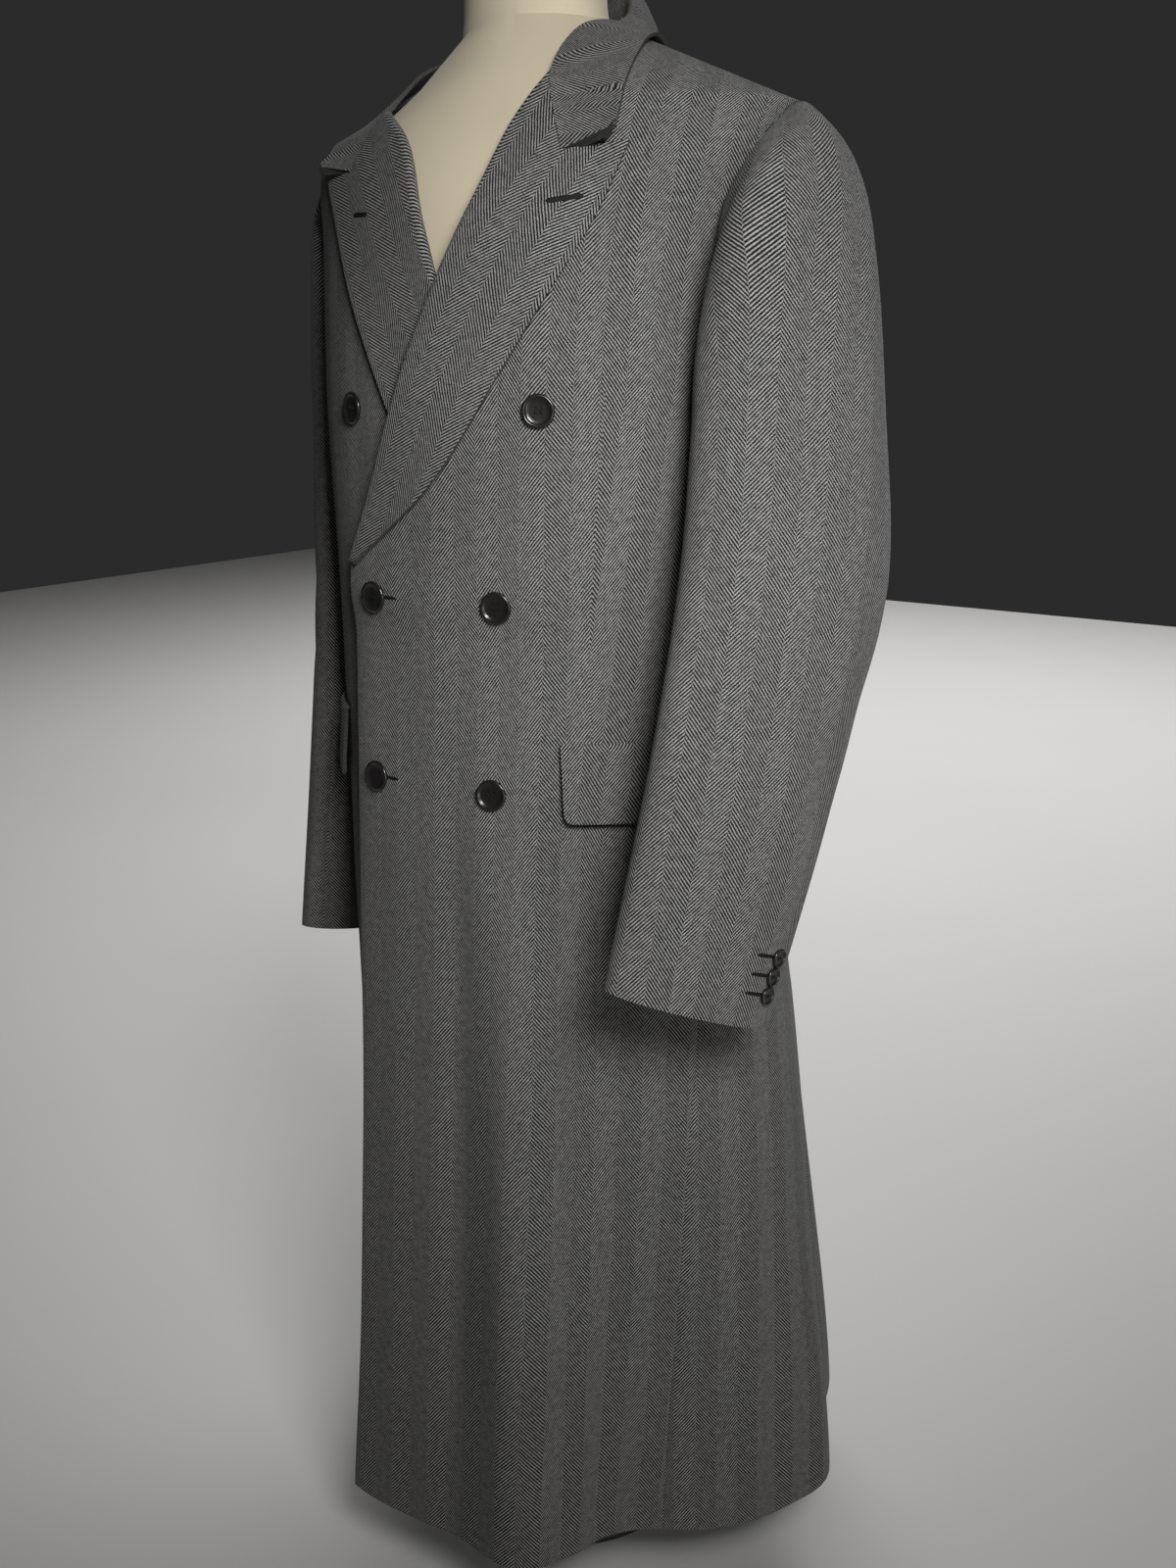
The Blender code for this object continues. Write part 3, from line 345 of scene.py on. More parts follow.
def on_stand(points, on_sleeve=False):
    """Lowers what hangs on the wearer's right shoulder and moves the coat over the stand."""
    x, y, z = np.moveaxis(points, -1, 0)
    arm = ARM_DROP.fall * ease(ARM_DROP.start_x, ARM_DROP.full_x, -x)
    if not on_sleeve:
        arm = arm * ease(ARM_DROP.start_z, ARM_DROP.full_z, z)
    crest = CREST_DROP.fall * ease(CREST_DROP.start_x, CREST_DROP.full_x, -x)
    crest = crest * ease(CREST_DROP.start_z, CREST_DROP.full_z, z) * ease(CREST_END_Z, CREST_FADE_Z, z)
    return np.stack((x, y - STAND_BACK, z - arm - crest), axis=-1)


def grid_bmesh(points):
    """Sheet of quads through a grid of points, rows upwards and columns to the left of the wearer."""
    rows, columns = points.shape[:2]
    shape = bmesh.new()
    bmesh.ops.create_grid(shape, x_segments=columns - 1, y_segments=rows - 1, size=0.5)
    for vert, point in zip(shape.verts, points.reshape(-1, 3)):
        vert.co = point
    return shape


form_z = np.arange(FORM_LEVELS[0].z, FORM_LEVELS[-1].z, FORM_RISE)[:, None]
form_turn = np.linspace(0.0, math.tau, FORM_SIDES + 1)[None, :]
form_skin = body_place(form_turn, form_z)
form_clear = at_height(FORM_LEVELS, "clear", form_z)
form_skin = form_skin - face_out(body_place, form_turn, form_z) * form_clear[..., None]
form_skin[0, :, 2] = form_skin[0, :, 2].min()
neck_rows = []
for neck in NECK_LEVELS:
    around = form_turn[0]
    neck_reach = np.where(np.cos(around) > 0.0, neck.front, neck.back)
    neck_rows.append(np.stack((neck.half_width * np.sin(around), -neck_reach * np.cos(around),
                               np.full(FORM_SIDES + 1, neck.z)), axis=-1))
form_bmesh = grid_bmesh(on_stand(np.concatenate((form_skin, np.array(neck_rows)))))
bmesh.ops.remove_doubles(form_bmesh, verts=form_bmesh.verts, dist=1e-6)
bmesh.ops.holes_fill(form_bmesh, edges=form_bmesh.edges, sides=0)
bmesh.ops.recalc_face_normals(form_bmesh, faces=form_bmesh.faces)

calico = grained_finish(
    "cream_calico", {"Roughness": 0.9, "Specular IOR Level": 0.2, "Sheen Weight": 0.15}, size=0.09,
    detail=4.0, colours=(CALICO_SHADE, CALICO))
calico_tree = calico.node_tree
calico_weave = grain(calico_tree, object_place(calico_tree), size=0.0011, stretch=(1.0, 1.0, 0.35))
raise_surface(calico_tree, calico_weave, strength=0.25, distance=0.0003)
shaped_piece("form_body", form_bmesh, calico, ["form_torso"])


# Neck cap
# A turned and waxed wooden disc that closes the neck, with a rounded edge and a small flat button
# in its middle. It is pegged to the form.
cap_low, cap_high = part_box("form_cap")
CAP_TURNS = (
    Turn(0.0000, 0.0000), Turn(0.0440, 0.0000), Turn(0.0454, 0.0006), Turn(0.0460, 0.0020),
    Turn(0.0460, 0.0060), Turn(0.0452, 0.0084), Turn(0.0430, 0.0099), Turn(0.0390, 0.0106),
    Turn(0.0160, 0.0110), Turn(0.0150, 0.0117), Turn(0.0135, 0.0120), Turn(0.0000, 0.0120),
)
WOOD_DARK = (0.13, 0.065, 0.028, 1.0)
WOOD_LIGHT = (0.31, 0.18, 0.085, 1.0)
cap_bmesh = turned_bmesh(CAP_TURNS, STAND_SIDES)
cap_place = Vector((0.5 * (cap_low.x + cap_high.x), 0.5 * (cap_low.y + cap_high.y), cap_low.z))
bmesh.ops.translate(cap_bmesh, verts=cap_bmesh.verts, vec=cap_place)
wood = grained_finish("waxed_wood", {"Roughness": 0.42, "Coat Weight": 0.2}, size=0.006, detail=4.0,
                      stretch=(0.12, 1.0, 1.0), colours=(WOOD_DARK, WOOD_LIGHT), relief=(0.12, 0.0003))
shaped_piece("form_neck_cap", cap_bmesh, wood, ["form_cap"])


# Coat backs
# Two panels of heavy herringbone wool joined down the centre, with a vent below that lies left over
# right. They hang from the shoulder seams, and their skirts fall in soft flutes.
SIDES = (("left", 1), ("right", -1))
CLOTH = 0.0024
EDGE_ROUND = 0.0009
EDGE_TURN = math.radians(50.0)
BREAK_Z = 0.983
ARMHOLE_ANGLE = 95.0
ARMHOLE_HALF_ANGLE = 24.0
ARMHOLE_HALF_HEIGHT = 0.09375
ARMHOLE_Z = TIP_Z - ARMHOLE_HALF_HEIGHT
ARMHOLE_FOOT = 47.5
FOOT_Z = ARMHOLE_Z - ARMHOLE_HALF_HEIGHT * math.sin(math.radians(ARMHOLE_FOOT))
FOOT_REACH = ARMHOLE_HALF_ANGLE * math.cos(math.radians(ARMHOLE_FOOT))
SEAM_PRESS = 0.0003
SEAM_SINK = 0.0014
NECK_SIDE_Z = 1.4185
NAPE_Z = 1.431
VENT_TOP = 0.652
VENT_WHOLE_Z = VENT_TOP - 0.06
VENT_UNDERLAP = 0.045
VENT_LIFT = CLOTH + 0.0020
VENT_LIFT_START_Z = VENT_TOP + 0.10
VENT_LIFT_START = math.radians(150.0)
VENT_LIFT_FULL = math.radians(163.0)
# Rows of the panels are counted from 0 at the hem to 4 at the shoulder seam. These are the rows at
# the lapels' break, at the armhole's foot and where the neck begins.
BREAK_ROW = 1.0
FOOT_ROW = 2.0
NECK_ROW = 3.0
BACK_COLUMNS = 48
BACK_LEGS = (150, 34, 36, 26)
Seam = namedtuple("Seam", "z angle")
BACK_SEAM = (Seam(HEM_Z, 124.0), Seam(0.615, 122.0), Seam(0.965, 117.0),
             Seam(FOOT_Z, ARMHOLE_ANGLE + FOOT_REACH))
Flute = namedtuple("Flute", "angle spread swell top")
BACK_FLUTES = (Flute(113.0, 14.0, 0.045, 0.765), Flute(146.0, 14.0, 0.160, 0.645),
               Flute(-146.0, 14.0, 0.160, 0.645))
LEFT_FLUTES = BACK_FLUTES + (Flute(-23.0, 11.0, 0.040, 0.665), Flute(23.0, 9.0, 0.115, 0.665),
                             Flute(50.0, 17.0, -0.195, 0.765))
RIGHT_FLUTES = BACK_FLUTES + (Flute(-52.0, 18.0, -0.240, 1.100), Flute(-84.0, 24.0, -0.100, 1.000))
# Soft creases: where across, how far it leans, from where to where along, how wide, how high
Crease = namedtuple("Crease", "across lean start end width height")
CREASE_FADE = 1.5
BODY_CREASES = (
    Crease(-9.0, 1.0, 0.72, 1.06, 4.5, -0.0022),
    Crease(6.3, 0.0, -0.15, 0.88, 2.4, -0.0042),
    Crease(22.0, -7.0, -0.10, 0.92, 4.2, 0.0115),
    Crease(28.5, 0.0, -0.05, 0.80, 2.0, -0.0036),
    Crease(41.0, 1.0, -0.08, 0.78, 3.0, -0.0042),
    Crease(56.0, 2.0, -0.02, 0.66, 2.8, -0.0030),
    Crease(38.0, 2.0, 0.86, 1.20, 7.0, 0.0018),
    Crease(57.0, 4.0, 0.84, 1.22, 6.0, -0.0030),
    Crease(63.0, 3.0, 1.14, 1.33, 6.0, -0.0022),
    Crease(74.0, 2.0, -0.10, 0.64, 3.4, -0.0034),
    Crease(88.0, -3.0, 0.05, 0.80, 4.0, -0.0022),
    Crease(104.0, -4.0, -0.18, 0.40, 6.5, 0.0190),
    Crease(118.0, 0.0, -0.15, 0.60, 5.0, -0.0120),
    Crease(126.0, 5.0, 0.88, 1.20, 6.0, -0.0034),
    Crease(140.0, -4.0, 0.66, 1.04, 8.0, 0.0020),
    Crease(160.0, 3.0, -0.20, 0.80, 6.0, -0.0030),
    Crease(-132.0, -4.0, 0.84, 1.22, 7.0, -0.0036),
    Crease(-150.0, 3.0, 0.60, 1.00, 8.0, 0.0022),
    Crease(-166.0, -3.0, -0.15, 0.72, 6.0, -0.0026),
    Crease(-60.0, -3.0, 0.86, 1.21, 6.0, -0.0028),
    Crease(-38.0, 2.0, 0.90, 1.18, 7.0, 0.0016),
    Crease(-78.0, 4.0, -0.20, 0.70, 7.0, 0.0030),
)
# Herringbone: width of a band, rise of one dark and light pair up the cloth, steepness of its lines
BAND = 0.0203
PAIR_RISE = 0.0036
STEEPNESS = 1.29
# Unevenness of the cloth: size of the grains, detail, and the spread of the values
Uneven = namedtuple("Uneven", "size detail low high")
DRIFT_ACROSS = 0.5
HALF_PAIR = 0.5
WEAVE_DRIFT = Uneven(0.018, 2.0, -0.0006, 0.0006)
FLECK = Uneven(0.0010, 3.0, -1.5, 1.5)
SLUB = Uneven(0.006, 3.0, -0.5, 0.5)
SHADING = Uneven(0.11, 3.0, 0.86, 1.10)
NAP_SIZE = 0.0007
LINE_DARKEST = -0.55
LINE_LIGHTEST = 1.35
# Painted shade: every second band is darker, as the light falls differently on its twill lines
BAND_PAINTED_SHADE = 0.12
LINE_RELIEF = 0.35
YARN_DARK = (0.0095, 0.0094, 0.0096, 1.0)
YARN_LIGHT = (0.37, 0.365, 0.35, 1.0)
# Lightest colour of the wool's rims, which are painted darker as shade
SHADED_EDGE_LIGHT = (0.120, 0.118, 0.113, 1.0)


def calc(tree, operation, *values):
    return add_node(tree, "Math", dict(enumerate(values)), operation=operation).outputs[0]


def herringbone_wool():
    """Woollen overcoating: twill lines that turn at every band, napped, with flecked yarns."""
    made, tree, shader = new_finish("herringbone_wool", {
        "Roughness": 0.95, "Specular IOR Level": 0.12, "Sheen Weight": 0.06, "Sheen Roughness": 0.45,
        "Sheen Tint": (0.92, 0.93, 0.95, 1.0)})
    cut = add_node(tree, "UVMap", uv_map="cut").outputs[0]
    split = add_node(tree, "SeparateXYZ", {0: cut})
    drift, fleck, slub, shading = [
        between(tree, grain(tree, cut, kind.size, kind.detail), kind.low, kind.high)
        for kind in (WEAVE_DRIFT, FLECK, SLUB, SHADING)]
    across = calc(tree, "ADD", split.outputs[0], calc(tree, "MULTIPLY", drift, DRIFT_ACROSS))
    along = calc(tree, "ADD", split.outputs[1], drift)
    folded = calc(tree, "PINGPONG", across, BAND)
    band = calc(tree, "FLOORED_MODULO", calc(tree, "FLOOR", calc(tree, "DIVIDE", across, BAND)), 2.0)
    climb = calc(tree, "SUBTRACT", along, calc(tree, "MULTIPLY", folded, STEEPNESS))
    turned_by = calc(tree, "MULTIPLY", band, HALF_PAIR)
    line = calc(tree, "ADD", calc(tree, "DIVIDE", climb, PAIR_RISE), turned_by)
    wave = calc(tree, "SINE", calc(tree, "MULTIPLY", line, math.tau))
    uneven = calc(tree, "ADD", wave, calc(tree, "ADD", fleck, slub))
    light = add_node(tree, "MapRange",
                     {"Value": uneven, "From Min": LINE_DARKEST, "From Max": LINE_LIGHTEST},
                     interpolation_type="SMOOTHSTEP").outputs["Result"]
    # Random tone of the cloth, with every second band painted darker as shade from the light on its
    # twill lines
    tone_and_painted_band_shade = calc(tree, "SUBTRACT", shading, calc(tree, "MULTIPLY", band, BAND_PAINTED_SHADE))
    shown = calc(tree, "MULTIPLY", light, tone_and_painted_band_shade)
    tree.links.new(blend_colours(tree, shown, YARN_DARK, YARN_LIGHT), shader.inputs["Base Color"])
    raised_lines = calc(tree, "MULTIPLY", wave, LINE_RELIEF)
    napped = calc(tree, "ADD", raised_lines, grain(tree, cut, NAP_SIZE))
    raise_surface(tree, napped, strength=0.45, distance=0.0005)
    return made


def bell(off):
    return np.exp(-0.5 * off * off)


def round_degrees(angle):
    """Angles in degrees, from -180 to 180."""
    return (np.degrees(angle) + 180.0) % 360.0 - 180.0


def crease_height(creases, across, along):
    """Height of soft troughs and ridges, which fade out at both ends."""
    height = np.zeros(np.broadcast(across, along).shape)
    for crease in creases:
        way = np.clip((along - crease.start) / (crease.end - crease.start), 0.0, 1.0)
        off = (across - crease.across - crease.lean * way) / crease.width
        height = height + crease.height * np.sin(np.pi * way) ** CREASE_FADE * bell(off)
    return height


def swell(angle, z, side):
    """How much wider the flutes make a side of the skirt, as a factor."""
    total = np.ones(np.broadcast(angle, z).shape)
    for flute in LEFT_FLUTES if side > 0 else RIGHT_FLUTES:
        off = (round_degrees(angle) - flute.angle) / flute.spread
        total = total + flute.swell * ease(flute.top, HEM_Z, z) * bell(off)
    return total


def coat_place(side):
    """Surface of one side of the coat, as a function of turn and height."""
    return lambda angle, z: body_place(angle, z, swell(angle, z, side))


def armhole(turn, scale=1.0):
    """Armhole line on the body: turn 0 is its front, 90 its top, 180 its back, 270 its foot."""
    turn = np.radians(turn)
    angle = ARMHOLE_ANGLE - ARMHOLE_HALF_ANGLE * scale * np.cos(turn)
    return np.radians(angle), ARMHOLE_Z + ARMHOLE_HALF_HEIGHT * scale * np.sin(turn)


def nudge(angle, z, towards):
    """Angles moved a little past a seam, so that the edges of its two panels press together."""
    return angle - towards * SEAM_PRESS / level("half_width", z)


def seam_angle(seam, z):
    return np.radians(at_height(seam, "angle", z))


def past(place, row, count=1.0):
    """Share of the way from one row to the row this many on."""
    return np.clip(place - row, 0.0, count) / count


def seam_level(place):
    """Height of a row at the side seams, up to the armhole's foot."""
    return HEM_Z + (BREAK_Z - HEM_Z) * past(place, 0.0) + (FOOT_Z - BREAK_Z) * past(place, BREAK_ROW)


def leg_rows(legs):
    """Rows of a panel, with this many steps from each whole row to the next."""
    return np.concatenate([[0.0]] + [leg + np.arange(1, count + 1) / count
                                     for leg, count in enumerate(legs)])


def arc_across(place, start, angle, z):
    """Cloth measured level round the body from a starting angle."""
    steps = 40
    total = np.zeros(np.broadcast(angle, z).shape)
    before = place(start, z)
    for k in range(1, steps + 1):
        here = place(start + (angle - start) * k / steps, z)
        total = total + np.linalg.norm(here - before, axis=-1)
        before = here
    return total * np.sign(angle - start)


def length_up(points, across):
    """Cloth measured up each column, square to the level measure."""
    moved = np.linalg.norm(np.diff(points, axis=0), axis=-1)
    rise = np.sqrt(np.maximum(moved ** 2 - np.diff(across, axis=0) ** 2, 0.0))
    return np.concatenate((np.zeros((1, points.shape[1])), np.cumsum(rise, axis=0)))


def cloth_piece(name, points, cut, thickness, node, side=1, on_sleeve=False, dart=None, finish=None):
    """Cloth wall on a grid of outer points, with its flat cut in metres kept as a UV map.

    The columns of a piece on the right are turned round, so that its outer face still looks outwards.
    """
    shape = grid_bmesh(on_stand(points[:, ::side], on_sleeve))
    mesh = bpy.data.meshes.new(name)
    shape.to_mesh(mesh)
    shape.free()
    corners = np.empty(len(mesh.loops), np.int32)
    mesh.loops.foreach_get("vertex_index", corners)
    flat = cut[:, ::side].reshape(-1, 2)[corners]
    if dart is not None:
        columns = points.shape[1]
        dart_column = dart.column if side > 0 else columns - 1 - dart.column
        middle = (corners.reshape(-1, 4) % columns).mean(axis=1)
        beyond = np.repeat((middle - dart_column) * side > 0.0, 4)
        flat = flat + beyond[:, None] * dart.taken[:, ::side].reshape(-1, 2)[corners]
    mesh.uv_layers.new(name="cut").data.foreach_set("uv", flat.astype(np.float32).ravel())
    mesh.polygons.foreach_set("use_smooth", [True] * len(mesh.polygons))
    piece = link_piece(name, mesh, finish or wool, [node] if node else [])
    wall = piece.modifiers.new("wall", "SOLIDIFY")
    wall.thickness = thickness
    wall.offset = -1.0
    # The rims take the darker edge wool, painted shade along the seams and edges
    mesh.materials.append(shaded_wool_edge)
    wall.material_offset_rim = 1
    rounding = piece.modifiers.new("rounded_edges", "BEVEL")
    rounding.width = EDGE_ROUND
    rounding.segments = 3
    rounding.profile = 0.5
    rounding.limit_method = "ANGLE"
    rounding.angle_limit = EDGE_TURN
    return piece


def draped(side, turn, height, stands=0.0):
    """Creased outer face of one side of the coat, standing this far out, and its outward directions."""
    place = coat_place(side)
    out = face_out(place, turn, height)
    raised = place(turn, height) + out * np.asarray(stands)[..., None]
    return raised + out * crease_height(BODY_CREASES, round_degrees(turn), height)[..., None], out


def back_ends(side, place):
    """Side seam and armhole end, and centre and neck end, of a back's rows."""
    z = seam_level(place)
    over = armhole(mix(180.0 + ARMHOLE_FOOT, 90.0, past(place, FOOT_ROW, 2.0)))
    outer_angle = np.where(place <= FOOT_ROW, seam_angle(BACK_SEAM, z), over[0])
    outer_z = np.where(place <= FOOT_ROW, z, over[1])
    neck = past(place, NECK_ROW)
    inner_z = z + (NAPE_Z - FOOT_Z) * past(place, FOOT_ROW) + (NECK_SIDE_Z - NAPE_Z) * neck
    inner_angle = nudge(math.pi, inner_z, -1.0) - 0.5 * math.pi * neck
    if side < 0:
        under = VENT_UNDERLAP / level("back", inner_z) * ease(VENT_TOP, VENT_WHOLE_Z, inner_z)
        inner_angle = inner_angle + under
    return nudge(outer_angle, outer_z, 1.0), outer_z, inner_angle, inner_z


wool = herringbone_wool()
# Painted shade: the rims of the cut and turned-in edges and of the seams are plain grained wool without
# the twill lines, coloured darker to stand for the shade in the seams and under the edges
shaded_wool_edge = grained_finish("shaded_wool_edge", {"Roughness": 0.95, "Specular IOR Level": 0.1}, size=0.0012,
                           detail=3.0, colours=(YARN_DARK, SHADED_EDGE_LIGHT), relief=(0.4, 0.0004))
for word, side in SIDES:
    rows = leg_rows(BACK_LEGS)[:, None]
    share = np.linspace(0.0, 1.0, BACK_COLUMNS + 1)[None, :]
    outer_turn, outer_height, inner_turn, inner_height = back_ends(side, rows)
    turn = side * mix(outer_turn, inner_turn, share)
    height = mix(outer_height, inner_height, share)
    lifted = VENT_LIFT * ease(VENT_LIFT_START, VENT_LIFT_FULL, np.abs(turn)) * (side > 0)
    lifted = lifted * ease(VENT_LIFT_START_Z, VENT_TOP, height)
    points, out = draped(side, turn, height, lifted)
    points[:, 0] -= out[:, 0] * SEAM_SINK
    level_arc = arc_across(coat_place(side), side * math.pi, turn, height)
    cut = np.stack((level_arc, length_up(points, level_arc)), axis=-1)
    piece = cloth_piece(f"coat_back_{word}", points, cut, CLOTH, f"back_{word}", side)


# Coat sides
# A narrow underarm panel of the wool on each side, cut straight on the grain. It is seamed to the
# front and the back from the hem to the armhole's foot.
SIDE_COLUMNS = 30
SIDE_LEGS = (150, 34)
FRONT_SEAM = (Seam(HEM_Z, 58.5), Seam(0.300, 60.0), Seam(0.500, 61.6), Seam(0.615, 64.6),
              Seam(0.965, 70.0), Seam(FOOT_Z, ARMHOLE_ANGLE - FOOT_REACH))
SIDE_PHASE = -0.009
SIDE_CHART_TURN = math.radians(80.0)
for word, side in SIDES:
    climb = (seam_level(leg_rows(SIDE_LEGS)[:, None]) - HEM_Z) / (FOOT_Z - HEM_Z)
    share = np.linspace(0.0, 1.0, SIDE_COLUMNS + 1)[None, :]
    foot_angle = mix(armhole(-ARMHOLE_FOOT)[0], armhole(180.0 + ARMHOLE_FOOT)[0], share)
    foot_off = (np.degrees(foot_angle) - ARMHOLE_ANGLE) / ARMHOLE_HALF_ANGLE
    height = mix(HEM_Z, ARMHOLE_Z - ARMHOLE_HALF_HEIGHT * np.sqrt(1.0 - foot_off ** 2), climb)
    front_line = nudge(seam_angle(FRONT_SEAM, height), height, 1.0)
    back_line = nudge(seam_angle(BACK_SEAM, height), height, -1.0)
    turn = side * mix(front_line, back_line, share)
    points, out = draped(side, turn, height)
    points[:, [0, -1]] -= out[:, [0, -1]] * SEAM_SINK
    level_arc = arc_across(coat_place(side), side * SIDE_CHART_TURN, turn, height)
    cut = np.stack((level_arc + SIDE_PHASE, length_up(points, level_arc)), axis=-1)
    piece = cloth_piece(f"coat_side_{word}", points, cut, CLOTH, f"side_{word}", side)


# Coat fronts
# Two wide panels of the wool that wrap over each other, left over right, seamed to the sides and
# ending at the front edges and roll lines. A narrow dart shapes each from the chest to its pocket.
DOUBLE_CLOTH = 0.0030
LAID_GAP = 0.0007
EDGE_X = 0.0780
Edge = namedtuple("Edge", "z x")
FRONT_EDGE = (Edge(HEM_Z, 0.0770), Edge(0.300, 0.0690), Edge(0.480, 0.0700), Edge(0.700, 0.0765),
              Edge(BREAK_Z, EDGE_X))
Outline = namedtuple("Outline", "x z")
ROLL_LINES = {
    1: (Outline(-0.0800, BREAK_Z), Outline(-0.0170, 1.133), Outline(0.0220, 1.215),
        Outline(0.0470, 1.275), Outline(0.0620, 1.325), Outline(0.0820, 1.365)),
    -1: (Outline(-0.0800, BREAK_Z), Outline(-0.0330, 1.133), Outline(-0.0090, 1.215),
         Outline(0.0120, 1.263), Outline(0.0360, 1.315), Outline(0.0820, 1.365)),
}
ROLL_SET_IN = 0.0015
ROLL_JOIN_Z = BREAK_Z + 0.03
NECK_BEND = 0.012
LAP_START_X = 0.140
LAP_FULL_X = 0.095
LAP_LIFT = CLOTH + LAID_GAP
LAP_WHOLE_Z = BREAK_Z + 0.26
LAP_END_Z = BREAK_Z + 0.34
LAPEL_ROOM = DOUBLE_CLOTH + LAID_GAP + 0.0010
ROOM_START_Z = BREAK_Z - 0.05
ROOM_FULL_Z = BREAK_Z - 0.01
EDGE_LIFT = 0.0060
EDGE_LIFT_START_X = 0.060
EDGE_LIFT_WHOLE_Z = BREAK_Z - 0.02
EDGE_LIFT_END_Z = BREAK_Z + 0.08
FRONT_COLUMNS = 72
FRONT_LEGS = (150, 34, 40, 30)
# The cloth's first band turn left of the front centre, for the charted herringbone, and how far the
# grain drifts towards the front edge: from where to where across, by how much, at which heights
FIRST_TURN = 0.0337
Drift = namedtuple("Drift", "start full amount heights shares")
GRAIN_DRIFTS = (
    Drift(0.045, 0.105, 0.0083, (0.345, 0.50, 0.65, 0.78, 0.93, 1.07, 1.20, 1.36),
          (0.0, 0.35, 0.85, 1.0, 1.0, 0.8, 0.45, 0.0)),
    Drift(0.120, 0.165, 0.0080, (0.20, 0.42, 0.55, 0.75, 0.85), (0.0, 0.85, 1.0, 1.0, 0.0)),
)
DART_COLUMN = 53
DART_TOP = Seam(1.14, 46.0)
DART_LOW = Seam(0.88, 43.0)
DART_FADE = 0.08
DART_POCKET_Z = 0.825
DART_END_Z = DART_POCKET_Z - 0.01
DART_DEPTH = 0.0005
DART_SLOPE = 0.11
Dart = namedtuple("Dart", "column taken")


def lap(x, z):
    """How far the left front stands out over the right front and its lapel."""
    share = ease(LAP_START_X, LAP_FULL_X, x) * ease(LAP_END_Z, LAP_WHOLE_Z, z)
    room = LAPEL_ROOM * ease(ROOM_START_Z, ROOM_FULL_Z, z)
    lift = EDGE_LIFT * ease(EDGE_LIFT_START_X, -EDGE_X, x) * ease(EDGE_LIFT_END_Z, EDGE_LIFT_WHOLE_Z, z)
    return share * (LAP_LIFT + room) + lift


def angle_at(x, z, side):
    """Angles on the front half at which the surface stands at these x."""
    shift = level("shift", z)
    wide = level("half_width", z)
    passes = 25
    pull = 0.6
    angle = np.zeros(np.broadcast(x, z).shape)
    for _ in range(passes):
        share = (x - shift) / (wide * swell(angle, z, side))
        angle = angle + pull * (np.arcsin(np.clip(share, -1.0, 1.0)) - angle)
    return angle


def front_out(side, x, z):
    """How far a front stands out: only the left one does."""
    return lap(x, z) if side > 0 else np.zeros(np.broadcast(x, z).shape)


def turned_out(side, turn, height):
    """How far a front stands out at these turns and heights."""
    return front_out(side, coat_place(side)(turn, height)[..., 0], height)


def front_inner_end(side, place):
    """Front edge, roll line and neck of a front, as angles for the wearer's left side, and heights."""
    line = ROLL_LINES[side]
    top = line[-1]
    neck = past(place, NECK_ROW)
    z = HEM_Z + (BREAK_Z - HEM_Z) * past(place, 0.0) + (top.z - BREAK_Z) * past(place, BREAK_ROW, 2.0)
    edge = at_height(FRONT_EDGE, "x", z)
    roll = at_height(line, "x", z) + ROLL_SET_IN
    x = np.where(place <= BREAK_ROW, -edge, mix(-EDGE_X, roll, ease(BREAK_Z, ROLL_JOIN_Z, z)))
    angle = side * angle_at(side * x, z, side)
    start = angle_at(np.array(top.x + ROLL_SET_IN), np.array(top.z), 1)
    angle = np.where(place > NECK_ROW, mix(start, 0.5 * math.pi, neck), angle)
    return angle, z + (NECK_SIDE_Z - top.z) * neck + NECK_BEND * np.sin(np.pi * neck)


def front_outer_end(place):
    """Side seam, armhole and shoulder tip of a front."""
    z = seam_level(place)
    over = armhole(mix(-ARMHOLE_FOOT, 90.0, past(place, FOOT_ROW, 2.0)))
    angle = np.where(place <= FOOT_ROW, seam_angle(FRONT_SEAM, z), over[0])
    return nudge(angle, z, -1.0), np.where(place <= FOOT_ROW, z, over[1])


def front_measure(side, angle, z):
    """Level cloth measure of a front, outwards from its centre line."""
    start = np.arcsin(-level("shift", z) / level("half_width", z))
    return side * arc_across(coat_place(side), start, angle, z)


def front_arc(side, angle, z):
    """That measure charted for the herringbone, with the drift of its grain."""
    measure = front_measure(side, angle, z)
    drift = 0.0
    for way in GRAIN_DRIFTS:
        share = smooth(way.heights, way.shares, z)
        drift = drift + way.amount * ease(way.start, way.full, measure) * share
    return side * (measure + drift) - FIRST_TURN + BAND


def dart_shares(inner_angle, outer_angle, z):
    """Shares across a front with one column on the dart's line."""
    plain = DART_COLUMN / FRONT_COLUMNS
    line = np.radians(smooth((DART_LOW.z, DART_TOP.z), (DART_LOW.angle, DART_TOP.angle), z))
    near = ease(DART_LOW.z - DART_FADE, DART_LOW.z, z) * ease(DART_TOP.z + DART_FADE, DART_TOP.z, z)
    at_dart = mix(plain, (line - inner_angle) / (outer_angle - inner_angle), near)
    before = np.arange(DART_COLUMN) / DART_COLUMN
    after = np.arange(FRONT_COLUMNS - DART_COLUMN + 1) / (FRONT_COLUMNS - DART_COLUMN)
    return np.concatenate((at_dart * before, at_dart + (1.0 - at_dart) * after), axis=1)


